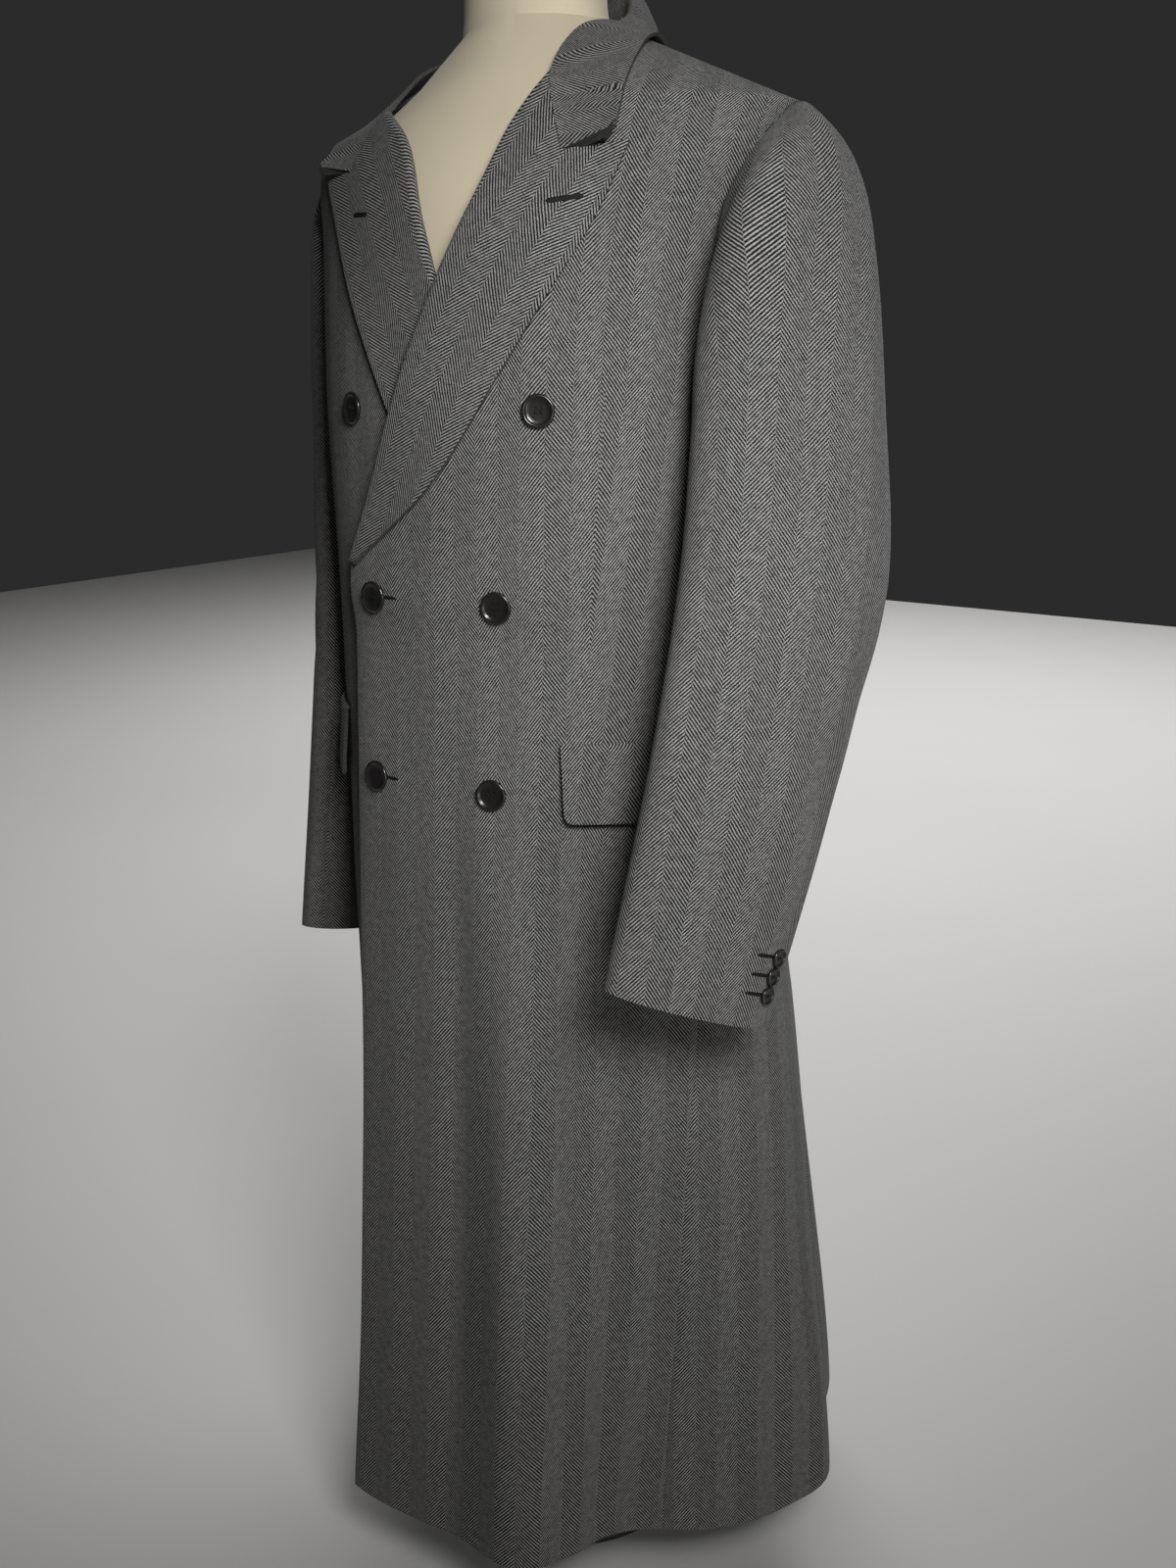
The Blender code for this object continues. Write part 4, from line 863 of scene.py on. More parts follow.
for word, side in SIDES:
    rows = leg_rows(FRONT_LEGS)[:, None]
    inner_turn, inner_height = front_inner_end(side, rows)
    outer_turn, outer_height = front_outer_end(rows)
    share = dart_shares(inner_turn, outer_turn, inner_height)
    turn = side * mix(inner_turn, outer_turn, share)
    height = mix(inner_height, outer_height, share)
    points, out = draped(side, turn, height, turned_out(side, turn, height))
    above_pocket = ease(DART_END_Z, DART_POCKET_Z, height)
    in_dart = ease(DART_TOP.z, DART_TOP.z - DART_FADE, height[:, DART_COLUMN])
    in_dart = in_dart * above_pocket[:, DART_COLUMN]
    points[:, DART_COLUMN] -= out[:, DART_COLUMN] * (DART_DEPTH * in_dart)[:, None]
    points[:, -1] -= out[:, -1] * SEAM_SINK
    level_arc = front_arc(side, turn, height)
    cut = np.stack((level_arc, length_up(points, level_arc)), axis=-1)
    beyond = side * (level_arc - level_arc[:, DART_COLUMN:DART_COLUMN + 1])
    shift = side * DART_SLOPE * np.maximum(DART_TOP.z - height, 0.0) * above_pocket
    begun = ease(DART_TOP.z + 0.5 * DART_FADE, DART_TOP.z - DART_FADE, height)
    turned_down = -DART_SLOPE * beyond * begun * above_pocket
    dart = Dart(DART_COLUMN, np.stack((shift, turned_down), axis=-1))
    piece = cloth_piece(f"coat_front_{word}", points, cut, CLOTH, f"front_{word}", side, dart=dart)


# Lapels
# Wide peaked lapels, two layers of the wool turned back over the chest along the roll line, which
# stays a soft rounded fold. Their bands run with the outer edge.
LAPEL_EDGES = {
    1: (Outline(-0.0800, BREAK_Z), Outline(0.0160, 1.063), Outline(0.0710, 1.144),
        Outline(0.1090, 1.214), Outline(0.1370, 1.274), Outline(0.1510, 1.317)),
    -1: (Outline(-0.0800, BREAK_Z), Outline(0.0000, 1.063), Outline(0.0480, 1.144),
         Outline(0.0880, 1.214), Outline(0.1210, 1.274), Outline(0.1490, 1.317)),
}
NOTCH = Outline(0.1040, 1.310)
NOTCH_SHARE = 0.5
LAPEL_FOOT = 0.03
ROLL_BULGE = 0.0045
BULGE_START = 0.25
BULGE_FULL = 0.70
BULGE_POWER = 2
LAPEL_ROWS = 84
LAPEL_COLUMNS = 36
ROLL_COLUMNS = 9
LAPEL_EDGE_LIFT = 0.0018
LAPEL_LIFT_POWER = 4
NOTCH_BEND_POWER = 3
LAPEL_CHART_CLIMBS = (0.48, 0.72, 0.95)
LAPEL_EDGE_BAND = 0.0055


def front_face(side, x, z):
    """Points of a front's outer face at these x and heights, with their outward directions."""
    def at(x, z):
        return draped(side, angle_at(x, z, side), z, front_out(side, x, z))[0]
    reach = 0.004
    across = at(x + reach, z) - at(x - reach, z)
    up = at(x, z + reach) - at(x, z - reach)
    return at(x, z), unit(np.cross(across, up))


def along(outline, climb):
    z = mix(outline[0].z, outline[-1].z, climb)
    return np.stack((at_height(outline, "x", z), z), axis=-1)


def lapel_plan(side, share, climb):
    """Lapel points seen from the front: share runs from roll to edge, climb from break to gorge."""
    roll_top = along(ROLL_LINES[side], 1.0)
    edge_top = along(LAPEL_EDGES[side], 1.0)
    notch = np.array(NOTCH)
    inner = mix(roll_top, notch, np.clip(share / NOTCH_SHARE, 0.0, 1.0)[..., None])
    past_notch = np.clip((share - NOTCH_SHARE) / (1.0 - NOTCH_SHARE), 0.0, 1.0)
    outer = (edge_top - notch) * past_notch[..., None]
    bent = inner + outer - mix(roll_top, edge_top, share[..., None])
    plain = mix(along(ROLL_LINES[side], climb), along(LAPEL_EDGES[side], climb), share[..., None])
    return plain + bent * (climb ** NOTCH_BEND_POWER)[..., None]


def lapel_stands(share, climb):
    """How far a lapel's outer face stands off its front: round at the roll, lifted at the edge."""
    bulge = ROLL_BULGE * (1.0 - share) ** BULGE_POWER * ease(BULGE_START, BULGE_FULL, climb)
    return LAID_GAP + DOUBLE_CLOTH + bulge + LAPEL_EDGE_LIFT * share ** LAPEL_LIFT_POWER


for word, side in SIDES:
    climb, share = np.meshgrid(np.linspace(LAPEL_FOOT, 1.0, LAPEL_ROWS + 1),
                               np.linspace(0.0, 1.0, LAPEL_COLUMNS + 1), indexing="ij")
    plan = lapel_plan(side, share, climb)
    face, out = front_face(side, side * plan[..., 0], plan[..., 1])
    stands = lapel_stands(share, climb)
    points = face + out * stands[..., None]
    inward = unit(points[:, :1] - points[:, 1:2])
    radius = 0.5 * (stands[:, :1] + CLOTH)[..., None]
    bend = np.linspace(-0.5 * math.pi, 0.5 * math.pi, ROLL_COLUMNS)[None, :, None]
    centre = points[:, :1] - out[:, :1] * radius
    fold = centre + (inward * np.cos(bend) + out[:, :1] * np.sin(bend)) * radius
    points = np.concatenate((fold[:, :-1], points), axis=1)
    across = front_measure(side, angle_at(side * plan[..., 0], plan[..., 1], side), plan[..., 1])
    low, mid, high = [int(chart_climb * LAPEL_ROWS) for chart_climb in LAPEL_CHART_CLIMBS]
    lean = math.atan2(plan[high, -1, 1] - plan[low, -1, 1], across[high, -1] - across[low, -1])
    chart = np.stack((across * math.sin(lean) - plan[..., 1] * math.cos(lean),
                      across * math.cos(lean) + plan[..., 1] * math.sin(lean)), axis=-1)
    back_of = (bend[..., 0] - 0.5 * math.pi) * radius[..., 0]
    fold_chart = chart[:, :1] + back_of[..., None] * np.array((math.sin(lean), math.cos(lean)))
    cut = np.concatenate((fold_chart[:, :-1], chart), axis=1)
    cut[..., 0] += BAND + LAPEL_EDGE_BAND - chart[mid, -1, 0]
    if side > 0:
        gorge = points[-1, ROLL_COLUMNS - 1:]
    piece = cloth_piece(f"coat_lapel_{word}", points, cut, DOUBLE_CLOTH, f"lapel_{word}", side)


# Collar
# A two-layer fall collar on a low stand, sewn round the neck and along the gorge to the lapels and
# turned down over the shoulders. Its bands run from the roll to the outer edge. The black felt of
# the under collar, tucked in under its ends, shows at the notches, and its black also stands in as
# painted shade for the deep notch gaps.
Station = namedtuple("Station", "seam_x seam_y seam_z stand fall_x fall_y fall_z")
COLLAR_STATIONS = (
    Station(0.1110, -0.1130, 1.3170, 0.0000, 0.1460, -0.1000, 1.3270),
    Station(0.0925, -0.1040, 1.3415, 0.0000, 0.1418, -0.0780, 1.3521),
    Station(0.0740, -0.0940, 1.3665, 0.0000, 0.1317, -0.0500, 1.3705),
    Station(0.0735, -0.0350, 1.4060, 0.0060, 0.1192, -0.0080, 1.4037),
    Station(0.0730, 0.0180, 1.4210, 0.0130, 0.1010, 0.0350, 1.4100),
    Station(0.0540, 0.0580, 1.4330, 0.0290, 0.0740, 0.0930, 1.3980),
    Station(0.0000, 0.0760, 1.4370, 0.0350, 0.0000, 0.1180, 1.3940),
)
FULL_STAND = 0.035
STAND_POWER = 0.6
INNER_PULL = 1.5
INNER_LEAN = 0.004
OUTER_PULL = 1.68
OUTER_LEAN = 0.012
COLLAR_CLEAR = 0.0015
COLLAR_LIFT = 0.0030
COLLAR_END_LIFT = 0.0050
COLLAR_STEPS = 72
COLLAR_COLUMNS = 34
COLLAR_PHASE = 0.004 + BAND
GORGE_STATIONS = 2.0
GORGE_GAP = 0.0004
# The bands stay level near the collar's ends, which are cut on a slant
COLLAR_SLANT = 0.5
COLLAR_SLANT_FULL = 0.5
COLLAR_SLANT_END = 2.5
FELT_THICK = 0.0014
FELT_TUCK = 0.007
FELT_SHOWN = (0.0015, 0.0095)
FELT_HIGHEST = 0.0064
FELT_BELOW = 0.0006
FELT_AIM_COLUMN = 4
FELT_ROWS = 8
MELTON_NOTCH_SHADE = (0.011, 0.011, 0.012, 1.0)
MELTON_FLECK = (0.030, 0.030, 0.031, 1.0)


def roof_gap(points):
    """Distances of points above the coat's upper surface, and that surface's outward directions."""
    x, y = points[..., 0], points[..., 1]
    low = np.full(x.shape, FOOT_Z)
    high = np.full(x.shape, SHOULDER_SECTIONS[-1].z)
    passes = 40
    for _ in range(passes):
        z = 0.5 * (low + high)
        back_by = y - level("set_back", z)
        deep = np.where(back_by < 0.0, level("front", z) + level("set_back", z),
                        level("back", z) - level("set_back", z))
        inside = (x / level("half_width", z)) ** 2 + (back_by / deep) ** 2 < 1.0
        low = np.where(inside, z, low)
        high = np.where(inside, high, z)
    angle = np.arctan2(x / level("half_width", low), -back_by / deep)
    out = face_out(body_place, angle, low)
    return np.sum((points - body_place(angle, low)) * out, axis=-1), out


def on_side(points, side):
    """Points of the wearer's left, mirrored for the right."""
    return points * np.array((side, 1.0, 1.0))


stations = np.linspace(0.0, len(COLLAR_STATIONS) - 1.0, COLLAR_STEPS + 1)
read = {name: smooth(np.arange(len(COLLAR_STATIONS)), column(COLLAR_STATIONS, name), stations)
        for name in Station._fields}
seam = np.stack((read["seam_x"], read["seam_y"], read["seam_z"]), axis=-1)
on_gorge = np.clip(1.0 - stations / GORGE_STATIONS, 0.0, 1.0) * NOTCH_SHARE * LAPEL_COLUMNS
gorge_line = np.stack([np.interp(on_gorge, np.arange(LAPEL_COLUMNS + 1), gorge[:, axis])
                       for axis in range(3)], axis=-1)
fall = np.stack((read["fall_x"], read["fall_y"], read["fall_z"]), axis=-1)
gorge_line = gorge_line + unit(fall - gorge_line) * GORGE_GAP
seam = mix(gorge_line, seam, ease(GORGE_STATIONS, GORGE_STATIONS + 1.0, stations)[:, None])
upright = (np.clip(read["stand"] / FULL_STAND, 0.0, 1.0) ** STAND_POWER)[:, None]
rising = np.stack((0.0 * stations, 0.0 * stations, read["stand"]), axis=-1)
outward = unit((fall - seam) * np.array((1.0, 1.0, 0.0)))
first = mix(mix(seam, fall, 1.0 / 3.0), seam + rising * INNER_PULL - outward * INNER_LEAN, upright)
second = mix(mix(seam, fall, 2.0 / 3.0), seam + rising * OUTER_PULL + outward * OUTER_LEAN, upright)
share = np.linspace(0.0, 1.0, COLLAR_COLUMNS + 1)[:, None, None]
half = (seam * (1.0 - share) ** 3 + first * 3.0 * (1.0 - share) ** 2 * share
        + second * 3.0 * (1.0 - share) * share ** 2 + fall * share ** 3)
gap, out = roof_gap(half)
end_lift = COLLAR_END_LIFT * ease(GORGE_STATIONS, 0.0, stations) * share[..., 0]
clear = DOUBLE_CLOTH + COLLAR_CLEAR + COLLAR_LIFT * share[..., 0] ** 2 + end_lift
half = half + out * np.maximum(clear - gap, 0.0)[..., None]
points = np.concatenate((on_side(half, -1), half[:, -2::-1]), axis=1)
leaf_edge = np.concatenate(([0.0], np.cumsum(np.linalg.norm(np.diff(half[-1], axis=0), axis=-1))))
slant = COLLAR_SLANT * ease(COLLAR_SLANT_END, COLLAR_SLANT_FULL, stations) * (share[..., 0] - 0.5)
before_end = stations[0] - COLLAR_SLANT
edge_before = -COLLAR_SLANT * leaf_edge[1] / (stations[1] - stations[0])
to_back = leaf_edge[-1] - np.interp(stations + slant, np.append(before_end, stations),
                                    np.append(edge_before, leaf_edge))
run = np.concatenate((-to_back, to_back[:, -2::-1]), axis=1) + COLLAR_PHASE
cut = np.stack((run, length_up(points, 0.0 * run)), axis=-1)
collar = cloth_piece("coat_collar", points, cut, DOUBLE_CLOTH, "collar")
# Black felt of the under collar, whose near-black colour is also painted shade for the notch gaps
melton_notch_shade = grained_finish(
    "black_melton_notch_shade", {"Roughness": 0.95, "Specular IOR Level": 0.1, "Sheen Weight": 0.08}, size=0.0009,
    detail=3.0, colours=(MELTON_NOTCH_SHADE, MELTON_FLECK), relief=(0.5, 0.0004))
leaf_end = half[:, 0]
beyond = unit(leaf_end - half[:, FELT_AIM_COLUMN])
shown = mix(*FELT_SHOWN, share[..., 0])
reach = mix(shown, -FELT_TUCK, np.linspace(0.0, 1.0, FELT_ROWS + 1)[:, None, None])[..., 0]
felt = leaf_end + beyond * reach[..., None]
gap, out = roof_gap(felt)
under_leaf = np.minimum(clear[:, 0] - DOUBLE_CLOTH - FELT_BELOW, FELT_HIGHEST)
felt = felt + out * (under_leaf - gap)[..., None]
flat = np.stack(np.broadcast_arrays(share[:, 0, 0], reach), axis=-1)
for word, side in SIDES:
    piece = cloth_piece(f"coat_under_collar_{word}", on_side(felt, side), flat, FELT_THICK, None, side,
                        finish=melton_notch_shade)


# Sleeves
# Two-piece sleeves, a wide top sleeve and a narrow under sleeve seamed front and back, eased into
# the armholes and bent a little at the elbow. The cuffs are open and turned up inside.
Ring = namedtuple("Ring", "x y z front_half out_half lift lean twist")
LEFT_RINGS = (
    Ring(0.2400, 0.018, 1.250, 0.072, 0.082, 70.0, 4.0, 8.0),
    Ring(0.2488, 0.002, 1.219, 0.081, 0.060, 45.0, 5.0, 16.0),
    Ring(0.2545, -0.009, 1.130, 0.0865, 0.048, 18.0, 7.0, 28.0),
    Ring(0.2678, -0.0325, 0.996, 0.0945, 0.046, 4.0, 12.0, 30.0),
    Ring(0.2669, -0.0965, 0.832, 0.085, 0.039, 0.0, 20.0, 30.0),
    Ring(0.2556, -0.1540, 0.666, 0.0785, 0.028, 0.0, 21.0, 30.0),
)
RIGHT_RINGS = (
    Ring(0.2215, 0.031, 1.252, 0.070, 0.080, 76.0, 3.0, 6.0),
    Ring(0.2325, 0.036, 1.212, 0.070, 0.047, 60.0, 3.0, 8.0),
    Ring(0.2430, 0.052, 1.130, 0.078, 0.036, 15.0, 3.0, 10.0),
    Ring(0.2450, 0.052, 0.995, 0.082, 0.036, 3.0, 5.0, 10.0),
    Ring(0.2550, 0.045, 0.820, 0.079, 0.035, 0.0, 10.0, 10.0),
    Ring(0.2680, 0.022, 0.588, 0.074, 0.033, 0.0, 15.0, 12.0),
)
SLEEVE_RINGS = {1: LEFT_RINGS, -1: RIGHT_RINGS}
SLEEVE_KEYS = (0.0, 0.16, 0.7, 1.3, 2.2, 3.4, 4.9, 6.4)
SLEEVE_SEAM_TURN = 20.0
SLEEVE_SET_IN = 0.004
SLEEVE_STEP = 0.0012
SLEEVE_ROWS = 130
SLEEVE_CHART_TURN = 90.0
SLEEVE_CHART_PLACE = 3.0
SLEEVE_CHART_SCALE = np.array((0.93, 1.03))
SLEEVE_BEND_PLACES = (0.5, 2.5, 4.0, 6.4)
SLEEVE_BENDS = (0.22, 0.32, 0.40, 0.46)
SLEEVE_HEAD_PLACE = 0.5
# The roll of a sleeve head over its seam: how high on the left and the right, over which places,
# about which turn, how wide. The skew moves its crest towards the seam.
Roll = namedtuple("Roll", "heights start end turn width")
SLEEVE_ROLL = Roll({1: 0.0125, -1: 0.0010}, 0.16, 2.4, 22.0, 42.0)
ROLL_SKEW = 0.6
SLEEVE_PHASE = BAND
# Creases on a sleeve: across is the turn, along runs from 0 at the armhole to 1 at the cuff
SLEEVE_CREASES = (
    Crease(20.0, 40.0, 0.52, 0.70, 9.0, -0.0022),
    Crease(10.0, 55.0, 0.60, 0.80, 10.0, -0.0026),
    Crease(25.0, 60.0, 0.70, 0.88, 11.0, -0.0016),
    Crease(75.0, 30.0, 0.10, 0.45, 16.0, -0.0020),
    Crease(120.0, -20.0, 0.16, 0.60, 14.0, 0.0018),
    Crease(150.0, -30.0, 0.58, 0.86, 13.0, -0.0028),
    Crease(185.0, -30.0, 0.50, 0.72, 11.0, -0.0026),
    Crease(40.0, 10.0, 0.06, 0.30, 10.0, -0.0018),
    Crease(235.0, 30.0, 0.40, 0.72, 14.0, -0.0030),
    Crease(300.0, -20.0, 0.35, 0.75, 14.0, -0.0030),
    Crease(270.0, 15.0, 0.15, 0.45, 14.0, -0.0028),
)
SleeveCut = namedtuple("SleeveCut", "name first_turn last_turn columns flat area")
SLEEVE_CUTS = (
    SleeveCut("top", -SLEEVE_SEAM_TURN, 180.0 + SLEEVE_SEAM_TURN, 64, (0.30, 0.78), 0.185),
    SleeveCut("under", 180.0 + SLEEVE_SEAM_TURN, 360.0 - SLEEVE_SEAM_TURN, 36, (0.20, 0.62), 0.095),
)
SEAM_HALF_TURN = 0.04


def sleeve_surface(side, turns, places):
    """Outer points of a sleeve: rows by place along it, columns by turn."""
    angle, z = armhole(turns, 1.0 - SLEEVE_SET_IN)
    start = body_place(angle, z)
    out = face_out(body_place, angle, z)
    lines = [start - out * CLOTH, start + out * SLEEVE_STEP]
    around = np.radians(turns)[:, None]
    for ring in SLEEVE_RINGS[side]:
        lift, lean, twist = np.radians((ring.lift, ring.lean, ring.twist))
        front = np.array((-math.sin(twist) * math.cos(lean), -math.cos(twist) * math.cos(lean),
                          math.sin(lean)))
        side_out = np.array((math.cos(twist) * math.cos(lift), -math.sin(twist) * math.cos(lift),
                             math.sin(lift)))
        lines.append(np.array((ring.x, ring.y, ring.z)) + front * ring.front_half * np.cos(around)
                     + side_out * ring.out_half * np.sin(around))
    lines = np.array(lines)
    grid = np.empty((len(places), len(turns), 3))
    for j in range(len(turns)):
        for axis in range(3):
            grid[:, j, axis] = smooth(SLEEVE_KEYS, lines[:, j, axis], places)
    return grid


def creased_sleeve(side, turns, places):
    """Sleeve surface with its creases and its rolled head, and its outward directions before those."""
    apart = 2.0
    step = 0.02
    across = sleeve_surface(side, turns + apart, places) - sleeve_surface(side, turns - apart, places)
    up = sleeve_surface(side, turns, places - step) - sleeve_surface(side, turns, places + step)
    out = unit(np.cross(across, up))
    way = (places / SLEEVE_KEYS[-1])[:, None]
    height = crease_height(SLEEVE_CREASES, turns[None, :], way)
    past_seam = (places - SLEEVE_ROLL.start) / (SLEEVE_ROLL.end - SLEEVE_ROLL.start)
    over_seam = np.clip(past_seam, 0.0, 1.0)[:, None]
    near_front = np.exp(-((turns[None, :] - SLEEVE_ROLL.turn) / SLEEVE_ROLL.width) ** 2)
    height = height + SLEEVE_ROLL.heights[side] * np.sin(np.pi * over_seam ** ROLL_SKEW) * near_front
    return sleeve_surface(side, turns, places) + out * height[..., None], out


def settled(rises, runs):
    """Grid of measures whose steps up the rows and along the columns come nearest to these."""
    row_steps = np.diff(np.eye(runs.shape[0]), axis=0)
    column_steps = np.diff(np.eye(rises.shape[1]), axis=0)
    row_weights, row_shapes = np.linalg.eigh(row_steps.T @ row_steps)
    column_weights, column_shapes = np.linalg.eigh(column_steps.T @ column_steps)
    weights = row_weights[:, None] + column_weights[None, :]
    weights[0, 0] = 1.0
    pull = row_shapes.T @ (row_steps.T @ rises + runs @ column_steps) @ column_shapes
    return row_shapes @ (pull / weights) @ column_shapes.T


def unrolled(points, out, lengthwise):
    """Level and upward cloth measures of a surface, its grain as near as can be to a direction."""
    up = unit(lengthwise - np.sum(lengthwise * out, axis=-1, keepdims=True) * out)
    measures = []
    for way in (np.cross(up, out), up):
        rises = np.sum(np.diff(points, axis=0) * 0.5 * (way[1:] + way[:-1]), axis=-1)
        runs = np.sum(np.diff(points, axis=1) * 0.5 * (way[:, 1:] + way[:, :-1]), axis=-1)
        measures.append(settled(rises, runs))
    return measures


def sleeve_grain(side, places):
    """Directions of a sleeve's grain, between those of the upper arm and of the forearm."""
    high, elbow, cuff = [np.array((ring.x, ring.y, ring.z)) for ring in SLEEVE_RINGS[side][1::2]]
    bend = np.interp(places, SLEEVE_BEND_PLACES, SLEEVE_BENDS)[:, None, None]
    return unit(mix(unit(high - elbow), unit(elbow - cuff), bend))


places = np.concatenate((np.linspace(SLEEVE_KEYS[-1], SLEEVE_KEYS[1], SLEEVE_ROWS), [0.0]))
for word, side in SIDES:
    for sleeve in SLEEVE_CUTS:
        turns = np.linspace(sleeve.first_turn + SEAM_HALF_TURN, sleeve.last_turn - SEAM_HALF_TURN,
                            sleeve.columns + 1)
        points = creased_sleeve(side, turns, places)[0]
        out = unit(np.cross(np.gradient(points, axis=1), np.gradient(points, axis=0)))
        head = int(np.argmin(np.abs(places - SLEEVE_HEAD_PLACE)))
        out[head:] = out[head]
        cut = np.stack(unrolled(points, out, sleeve_grain(side, places)), axis=-1)
        chart_row = int(np.argmin(np.abs(places - SLEEVE_CHART_PLACE)))
        chart_column = int(np.argmin(np.abs(turns - SLEEVE_CHART_TURN)))
        cut = (cut - cut[chart_row, chart_column]) * SLEEVE_CHART_SCALE + np.array((SLEEVE_PHASE, 0.0))
        piece = cloth_piece(f"coat_{sleeve.name}_sleeve_{word}", on_side(points, side), cut, CLOTH,
                            f"sleeve_{sleeve.name}_{word}", side, on_sleeve=True)


# Pocket flaps
# Two-layer flaps with slightly rounded lower corners, sewn into the pocket slits in the fronts and
# the sides. Their bands sit a little off those of the front, and their lower edges stand away.
FLAP_FRONT_X = 0.121
FLAP_LENGTH = 0.165
FLAP_TOP_Z = 0.857
FLAP_DEPTH = 0.066
FLAP_GAP = 0.0022
FLAP_LIFT = 0.0045
FLAP_PHASE = 0.006
FLAP_CORNER = 0.006
FLAP_TUCK = 0.004
FLAP_TUCK_DEPTH = 0.0030
FLAP_ROWS = 30
FLAP_COLUMNS = 64
FLAP_LONGEST_TURN = 1.2
FLAP_TRIALS = 400
for word, side in SIDES:
    mid_z = FLAP_TOP_Z - 0.5 * FLAP_DEPTH
    flap_start = side * angle_at(np.array(side * FLAP_FRONT_X), np.array(mid_z), side)
    trial = np.linspace(flap_start, flap_start + FLAP_LONGEST_TURN, FLAP_TRIALS)
    trial_arc = np.abs(arc_across(coat_place(side), side * flap_start, side * trial, np.array(mid_z)))
    flap_end = np.interp(FLAP_LENGTH, trial_arc, trial)
    share = np.linspace(0.0, 1.0, FLAP_COLUMNS + 1)[None, :]
    from_end = np.minimum(share, 1.0 - share) * FLAP_LENGTH
    into_corner = np.clip(FLAP_CORNER - from_end, 0.0, FLAP_CORNER)
    low_z = FLAP_TOP_Z - FLAP_DEPTH + FLAP_CORNER - np.sqrt(FLAP_CORNER ** 2 - into_corner ** 2)
    height = mix(low_z, FLAP_TOP_Z, np.linspace(0.0, 1.0, FLAP_ROWS + 1)[:, None])
    turn = np.broadcast_to(side * mix(flap_start, flap_end, share), height.shape)
    stands = FLAP_GAP + DOUBLE_CLOTH + turned_out(side, turn, height)
    stands = stands + FLAP_LIFT * ease(FLAP_TOP_Z, FLAP_TOP_Z - FLAP_DEPTH, height)
    stands = stands - FLAP_TUCK_DEPTH * ease(FLAP_TOP_Z - FLAP_TUCK, FLAP_TOP_Z, height)
    points = draped(side, turn, height, stands)[0]
    cut = np.stack((front_arc(side, turn, height) + FLAP_PHASE, height - HEM_Z), axis=-1)
    piece = cloth_piece(f"coat_flap_{word}", points, cut, DOUBLE_CLOTH, f"flap_{word}", side)


# Buttons
# Black moulded buttons with a raised rim, a dished face and four holes, sewn on with two bars of
# black thread: six large ones on the fronts, three small ones on each sleeve.
ButtonRow = namedtuple("ButtonRow", "name left_x right_x z")
BUTTON_ROWS = (
    ButtonRow("top", 0.1010, -0.0850, 1.1205),
    ButtonRow("middle", 0.0690, -0.0460, 0.9670),
    ButtonRow("bottom", 0.0670, -0.0490, 0.8115),
)
FRONT_BUTTON = Turn(0.01325, 0.0040)
CUFF_BUTTON = Turn(0.0078, 0.0030)
CUFF_BUTTON_HEIGHTS = (0.0266, 0.0416, 0.0566)
CUFF_BUTTON_TURN = 134.0
BUTTON_SIDES = 64
SEAT_GAP = 0.0006
BUTTON_TURNS = (
    Turn(0.00, 0.00), Turn(0.74, 0.00), Turn(0.86, 0.06), Turn(0.95, 0.22), Turn(0.99, 0.42),
    Turn(1.00, 0.58), Turn(0.985, 0.76), Turn(0.95, 0.91), Turn(0.90, 0.99), Turn(0.86, 1.00),
    Turn(0.81, 0.95), Turn(0.77, 0.82), Turn(0.73, 0.70), Turn(0.66, 0.62), Turn(0.52, 0.57),
    Turn(0.44, 0.56),
)
HOLE_OFF = 0.165
HOLE_RADIUS = 0.085
HOLE_SIDES = 16
HOLE_DEPTH = 0.45
THREAD_RADIUS = 0.00042
THREAD_LIFT = 0.0005
THREAD_SINK = 0.2 * THREAD_LIFT
THREAD_POINTS = 9
HORN = (0.0075, 0.0072, 0.0075, 1.0)
HORN_CLOUD = (0.016, 0.014, 0.013, 1.0)
THREAD = (0.007, 0.007, 0.0075, 1.0)


def button_bmesh(size):
    """Button lying on z = 0 with its face up and four blind holes in its dish."""
    turns = [Turn(turn.radius * size.radius, turn.height * size.height) for turn in BUTTON_TURNS]
    shape = turned_bmesh(turns, BUTTON_SIDES)
    floor_z = turns[-1].height
    edges = [edge for edge in shape.edges if edge.is_boundary]
    holes = []
    for x, y in ((1, 1), (1, -1), (-1, 1), (-1, -1)):
        off = HOLE_OFF * size.radius
        circle = bmesh.ops.create_circle(shape, segments=HOLE_SIDES, radius=HOLE_RADIUS * size.radius,
                                         matrix=Matrix.Translation((x * off, y * off, floor_z)))
        holes += list({edge for vert in circle["verts"] for edge in vert.link_edges})
    bmesh.ops.triangle_fill(shape, edges=edges + holes, use_beauty=True, normal=(0, 0, 1))
    sunk = bmesh.ops.extrude_edge_only(shape, edges=holes)["geom"]
    lowered = [item for item in sunk if isinstance(item, bmesh.types.BMVert)]
    bmesh.ops.translate(shape, verts=lowered, vec=(0, 0, -HOLE_DEPTH * floor_z))
    bmesh.ops.holes_fill(shape, edges=shape.edges, sides=0)
    bmesh.ops.recalc_face_normals(shape, faces=shape.faces)
    return shape


def stitch_bmesh(shape, line, sides_of, ups_of, half_width, half_height):
    """Adds a closed rounded strand along a line, tapered to both ends."""
    ring = 10
    bluntness = 8
    count = len(line)
    taper = np.sqrt(np.clip(1.0 - np.linspace(-1.0, 1.0, count) ** bluntness, 0.0, 1.0))[:, None, None]
    around = np.linspace(0.0, math.tau, ring + 1)[None, :, None]
    tube = (line[:, None] + sides_of[:, None] * np.cos(around) * half_width * taper
            + ups_of[:, None] * np.sin(around) * half_height * taper)
    made = bmesh.ops.create_grid(shape, x_segments=ring, y_segments=count - 1, size=0.5)["verts"]
    for vert, point in zip(made, tube.reshape(-1, 3)):
        vert.co = point
    bmesh.ops.remove_doubles(shape, verts=made, dist=1e-6)


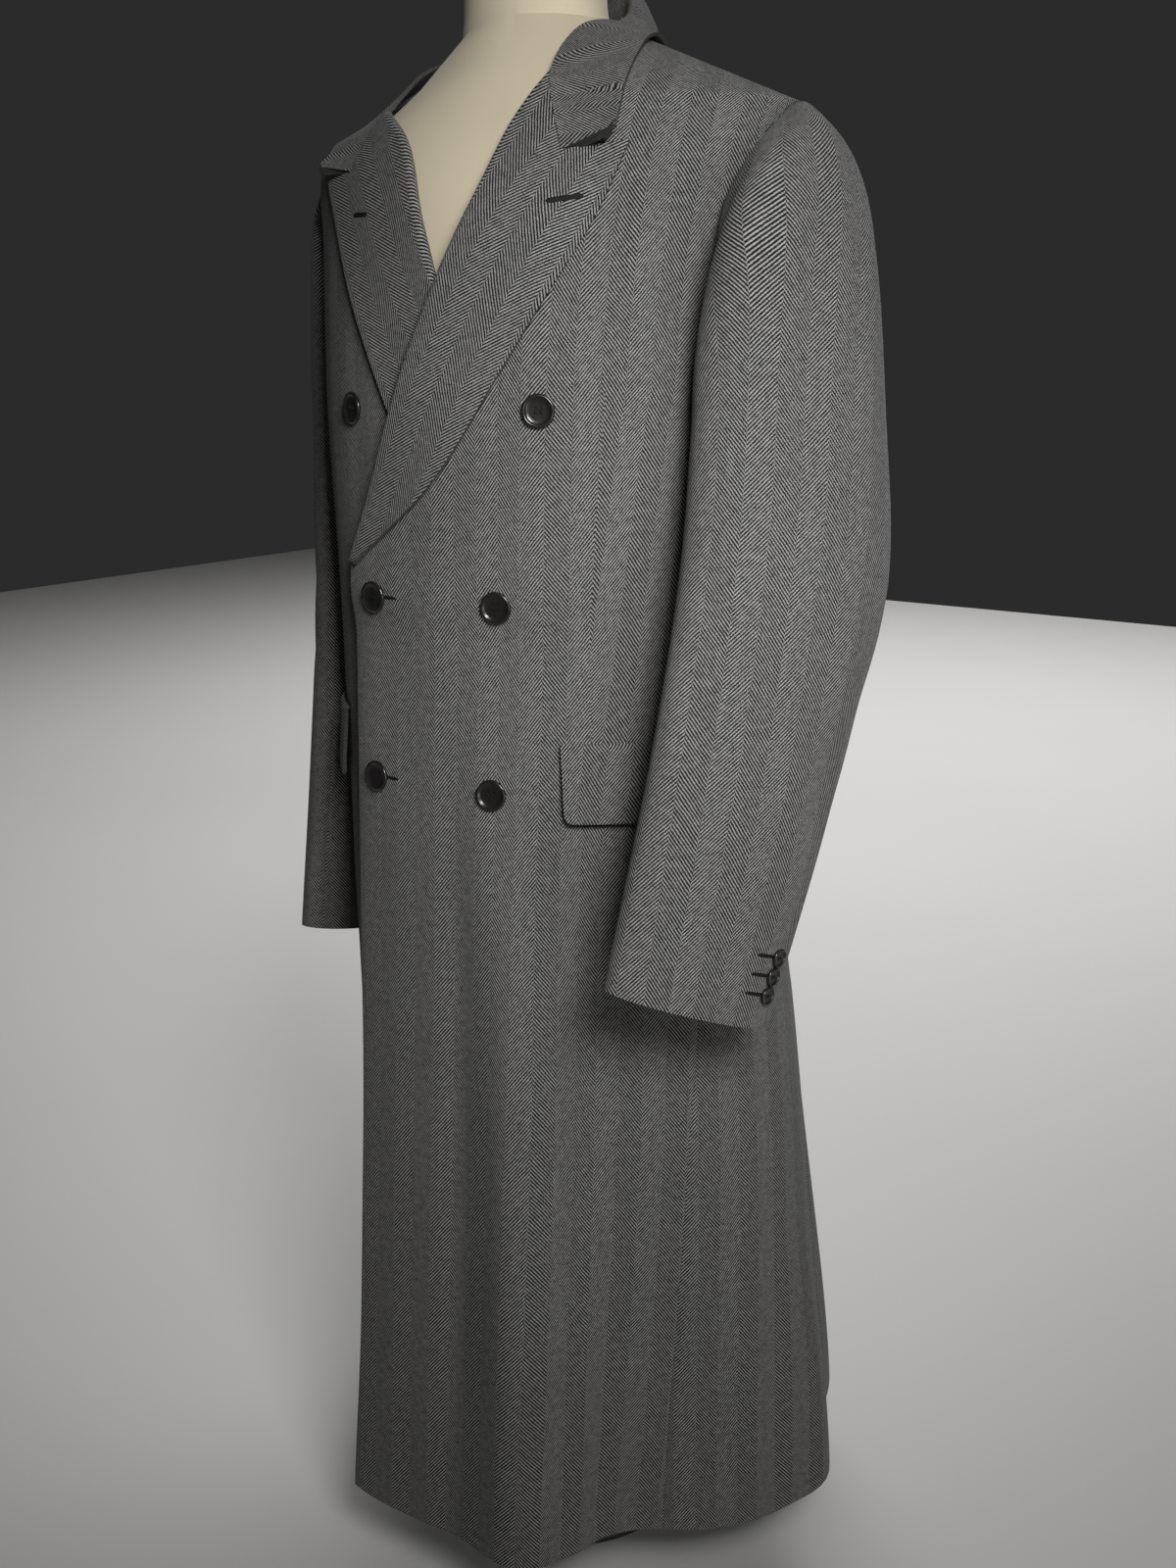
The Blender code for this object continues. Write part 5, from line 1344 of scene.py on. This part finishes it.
def button_matrix(place, out):
    """Places a button's own axes on the cloth, its second axis upwards."""
    out = Vector(out).normalized()
    right = Vector((0.0, 0.0, 1.0)).cross(out).normalized()
    axes = Matrix((right, out.cross(right), out)).transposed().to_4x4()
    return Matrix.Translation(Vector(place)) @ axes


def sew_button(name, size, place, out, node, threads):
    """Makes one button on its place and adds its two thread bars to the threads' mesh."""
    matrix = button_matrix(place, out)
    shape = button_bmesh(size)
    bmesh.ops.transform(shape, matrix=matrix, verts=shape.verts)
    shaped_piece(name, shape, horn, [node])
    axes = np.array(matrix.to_3x3())
    off = HOLE_OFF * size.radius
    floor_z = BUTTON_TURNS[-1].height * size.height
    flatness = 4
    sides, ups = [np.tile(axes[:, axis], (THREAD_POINTS, 1)) for axis in (0, 2)]
    for x in (-off, off):
        y = np.linspace(-off, off, THREAD_POINTS)
        z = floor_z + THREAD_LIFT * (1.0 - (y / off) ** flatness) - THREAD_SINK
        line = np.stack((np.full(THREAD_POINTS, x), y, z), axis=-1) @ axes.T
        line = line + np.array(matrix.translation)
        stitch_bmesh(threads, line, sides, ups, THREAD_RADIUS, THREAD_RADIUS)


def stand_place(point, out, on_sleeve):
    """A point of the cloth and its outward direction, both carried over to the stand."""
    reach = 0.003
    moved = on_stand(np.array((point, point + out * reach)), on_sleeve)
    return moved[0], unit(moved[1] - moved[0])


def cuff_spot(side, height):
    """Place along a sleeve of a cuff button at this height above the cuff's edge."""
    rings = SLEEVE_RINGS[side]
    share = height / (rings[-2].z - rings[-1].z)
    return mix(SLEEVE_KEYS[-1], SLEEVE_KEYS[-2], share)


horn = grained_finish(
    "black_horn",
    {"Roughness": 0.24, "Specular IOR Level": 0.5, "Coat Weight": 0.25, "Coat Roughness": 0.12},
    size=0.007, detail=4.0, stretch=(1.0, 1.0, 0.4), colours=(HORN, HORN_CLOUD), roughness=(0.20, 0.34))
thread = grained_finish(
    "black_thread", {"Base Color": THREAD, "Roughness": 0.75, "Specular IOR Level": 0.25}, size=0.0005,
    detail=1.0, relief=(0.6, 0.0003))

threads = bmesh.new()
for row in BUTTON_ROWS:
    for word, x in (("left", row.left_x), ("right", row.right_x)):
        side = -1 if row.name == "top" and x < 0 else 1
        face, out = front_face(side, np.array([x]), np.array([row.z]))
        spot, out = stand_place(face[0] + out[0] * SEAT_GAP, out[0], False)
        sew_button(f"front_button_{row.name}_{word}", FRONT_BUTTON, spot, out,
                   f"button_{row.name}_{word}", threads)
for word, side in SIDES:
    for number, height in enumerate(CUFF_BUTTON_HEIGHTS, 1):
        turns = np.array([CUFF_BUTTON_TURN])
        face, out = creased_sleeve(side, turns, np.array([cuff_spot(side, height)]))
        seat = on_side(face[0, 0] + out[0, 0] * SEAT_GAP, side)
        spot, out = stand_place(seat, on_side(out[0, 0], side), True)
        sew_button(f"sleeve_button_{word}_{number}", CUFF_BUTTON, spot, out,
                   f"cuff_button_{word}_{number}", threads)
bmesh.ops.recalc_face_normals(threads, faces=threads.faces)
shaped_piece("button_threads", threads, thread, [])


# Buttonholes
# Hand-worked bars of black silk twist: two in the left front beside its edge buttons, one in each
# lapel, and a short one beside every cuff button.
HOLE_BAR_WIDTH = 0.0031
LAPEL_BAR_WIDTH = 0.0042
HOLE_BAR_HEIGHT = 0.0007
HOLE_BAR_POINTS = 25
EdgeHole = namedtuple("EdgeHole", "start_x end_x z")
EDGE_HOLES = (EdgeHole(-0.0525, -0.0235, 0.9670), EdgeHole(-0.0555, -0.0265, 0.8115))
LapelHole = namedtuple("LapelHole", "start_x start_z end_x end_z")
LAPEL_HOLES = {
    1: LapelHole(0.0990, 1.2715, 0.1240, 1.2770),
    -1: LapelHole(0.0700, 1.271, 0.0900, 1.273),
}
CUFF_HOLE_TURNS = (113.0, 134.0)
bars = bmesh.new()


def work_bar(face, out, on_sleeve, width=HOLE_BAR_WIDTH):
    """Adds one worked bar along points of the cloth."""
    placed = [stand_place(point, way, on_sleeve) for point, way in zip(face, out)]
    line = np.array([point for point, way in placed])
    ups = np.array([way for point, way in placed])
    sides = unit(np.cross(np.gradient(line, axis=0), ups))
    stitch_bmesh(bars, line, sides, ups, 0.5 * width, HOLE_BAR_HEIGHT)


for hole in EDGE_HOLES:
    work_bar(*front_face(1, np.linspace(hole.start_x, hole.end_x, HOLE_BAR_POINTS),
                         np.full(HOLE_BAR_POINTS, hole.z)), False)
for side in (1, -1):
    hole = LAPEL_HOLES[side]
    x = np.linspace(hole.start_x, hole.end_x, HOLE_BAR_POINTS)
    z = np.linspace(hole.start_z, hole.end_z, HOLE_BAR_POINTS)
    face, out = front_face(side, side * x, z)
    roll = at_height(ROLL_LINES[side], "x", z)
    edge = at_height(LAPEL_EDGES[side], "x", z)
    climb = (z - BREAK_Z) / (LAPEL_EDGES[side][-1].z - BREAK_Z)
    stands = lapel_stands((x - roll) / (edge - roll), climb)
    work_bar(face + out * stands[:, None], out, False, width=LAPEL_BAR_WIDTH)
    for height in CUFF_BUTTON_HEIGHTS:
        face, out = creased_sleeve(side, np.linspace(*CUFF_HOLE_TURNS, HOLE_BAR_POINTS),
                                   np.array([cuff_spot(side, height)]))
        work_bar(on_side(face[0], side), on_side(out[0], side), True)
bmesh.ops.recalc_face_normals(bars, faces=bars.faces)
shaped_piece("buttonholes", bars, thread, [])


# Studio
# A wide pale floor under soft light: a gridded panel close to the camera's right, a lower wide one
# beside it, a weak one behind the coat, one over the floor behind it, and a faint even surround.
# The camera stands where the photograph was taken from.
FLOOR_HALF = 6.0
FLOOR = (0.84, 0.83, 0.81, 1.0)
FLOOR_SHADE = (0.80, 0.79, 0.77, 1.0)
SURROUND = (0.80, 0.80, 0.80, 1.0)
SURROUND_STRENGTH = 0.03
Panel = namedtuple("Panel", "name place aim size spread power")
PANELS = (
    Panel("key_panel", (1.14, -1.10, 1.70), (0.10, -0.10, 0.95), 0.5, 60.0, 3.7),
    Panel("low_panel", (1.98, -1.18, 0.62), (0.10, -0.10, 1.00), 0.9, 180.0, 8.0),
    Panel("back_panel", (-1.9, 2.2, 1.7), (0.0, 0.0, 0.8), 1.6, 120.0, 4.0),
    Panel("floor_panel", (-1.0, 3.6, 3.4), (-1.0, 3.6, 0.0), 5.0, 120.0, 90.0),
)
CAMERA_PLACE = (0.82699, -1.198656, 1.162818)
CAMERA_YAW = math.radians(33.817)
CAMERA_PITCH = math.radians(15.337)
CAMERA_ROLL = math.radians(0.1784)
IMAGE_HEIGHT = 1600.0
FOCAL_PIXELS = 1598.126
SENSOR = 36.0

floor_bmesh = bmesh.new()
bmesh.ops.create_grid(floor_bmesh, x_segments=4, y_segments=4, size=FLOOR_HALF)
floor = bpy.data.objects.new("floor", smooth_mesh("floor", floor_bmesh))
bpy.context.scene.collection.objects.link(floor)
floor_finish = grained_finish("pale_floor", {"Roughness": 0.8, "Specular IOR Level": 0.2}, size=0.8,
                              detail=3.0, colours=(FLOOR_SHADE, FLOOR))
floor.data.materials.append(floor_finish)
floor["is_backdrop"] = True

world = bpy.data.worlds.new("surround")
world.use_nodes = True
world.node_tree.nodes["Background"].inputs["Color"].default_value = SURROUND
world.node_tree.nodes["Background"].inputs["Strength"].default_value = SURROUND_STRENGTH
bpy.context.scene.world = world
for lamp in PANELS:
    light = bpy.data.lights.new(lamp.name, "AREA")
    light.shape = "SQUARE"
    light.size = lamp.size
    light.spread = math.radians(lamp.spread)
    light.energy = lamp.power
    holder = bpy.data.objects.new(lamp.name, light)
    holder.location = lamp.place
    holder.rotation_mode = "QUATERNION"
    holder.rotation_quaternion = (Vector(lamp.aim) - Vector(lamp.place)).to_track_quat("-Z", "Y")
    bpy.context.scene.collection.objects.link(holder)

camera_right = Vector((math.cos(CAMERA_YAW), math.sin(CAMERA_YAW), 0.0))
camera_ahead = Vector((-math.sin(CAMERA_YAW) * math.cos(CAMERA_PITCH),
                       math.cos(CAMERA_YAW) * math.cos(CAMERA_PITCH), -math.sin(CAMERA_PITCH)))
camera_up = camera_right.cross(camera_ahead)
rolled_right = camera_right * math.cos(CAMERA_ROLL) + camera_up * math.sin(CAMERA_ROLL)
rolled_up = camera_up * math.cos(CAMERA_ROLL) - camera_right * math.sin(CAMERA_ROLL)
lens = bpy.data.cameras.new("camera")
lens.sensor_fit = "VERTICAL"
lens.sensor_height = SENSOR
lens.lens = SENSOR * FOCAL_PIXELS / IMAGE_HEIGHT
camera = bpy.data.objects.new("camera", lens)
axes = Matrix((rolled_right, rolled_up, -camera_ahead)).transposed().to_4x4()
camera.matrix_world = Matrix.Translation(CAMERA_PLACE) @ axes
bpy.context.scene.collection.objects.link(camera)
bpy.context.scene.camera = camera
bpy.context.scene.view_settings.view_transform = "Standard"

low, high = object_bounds()
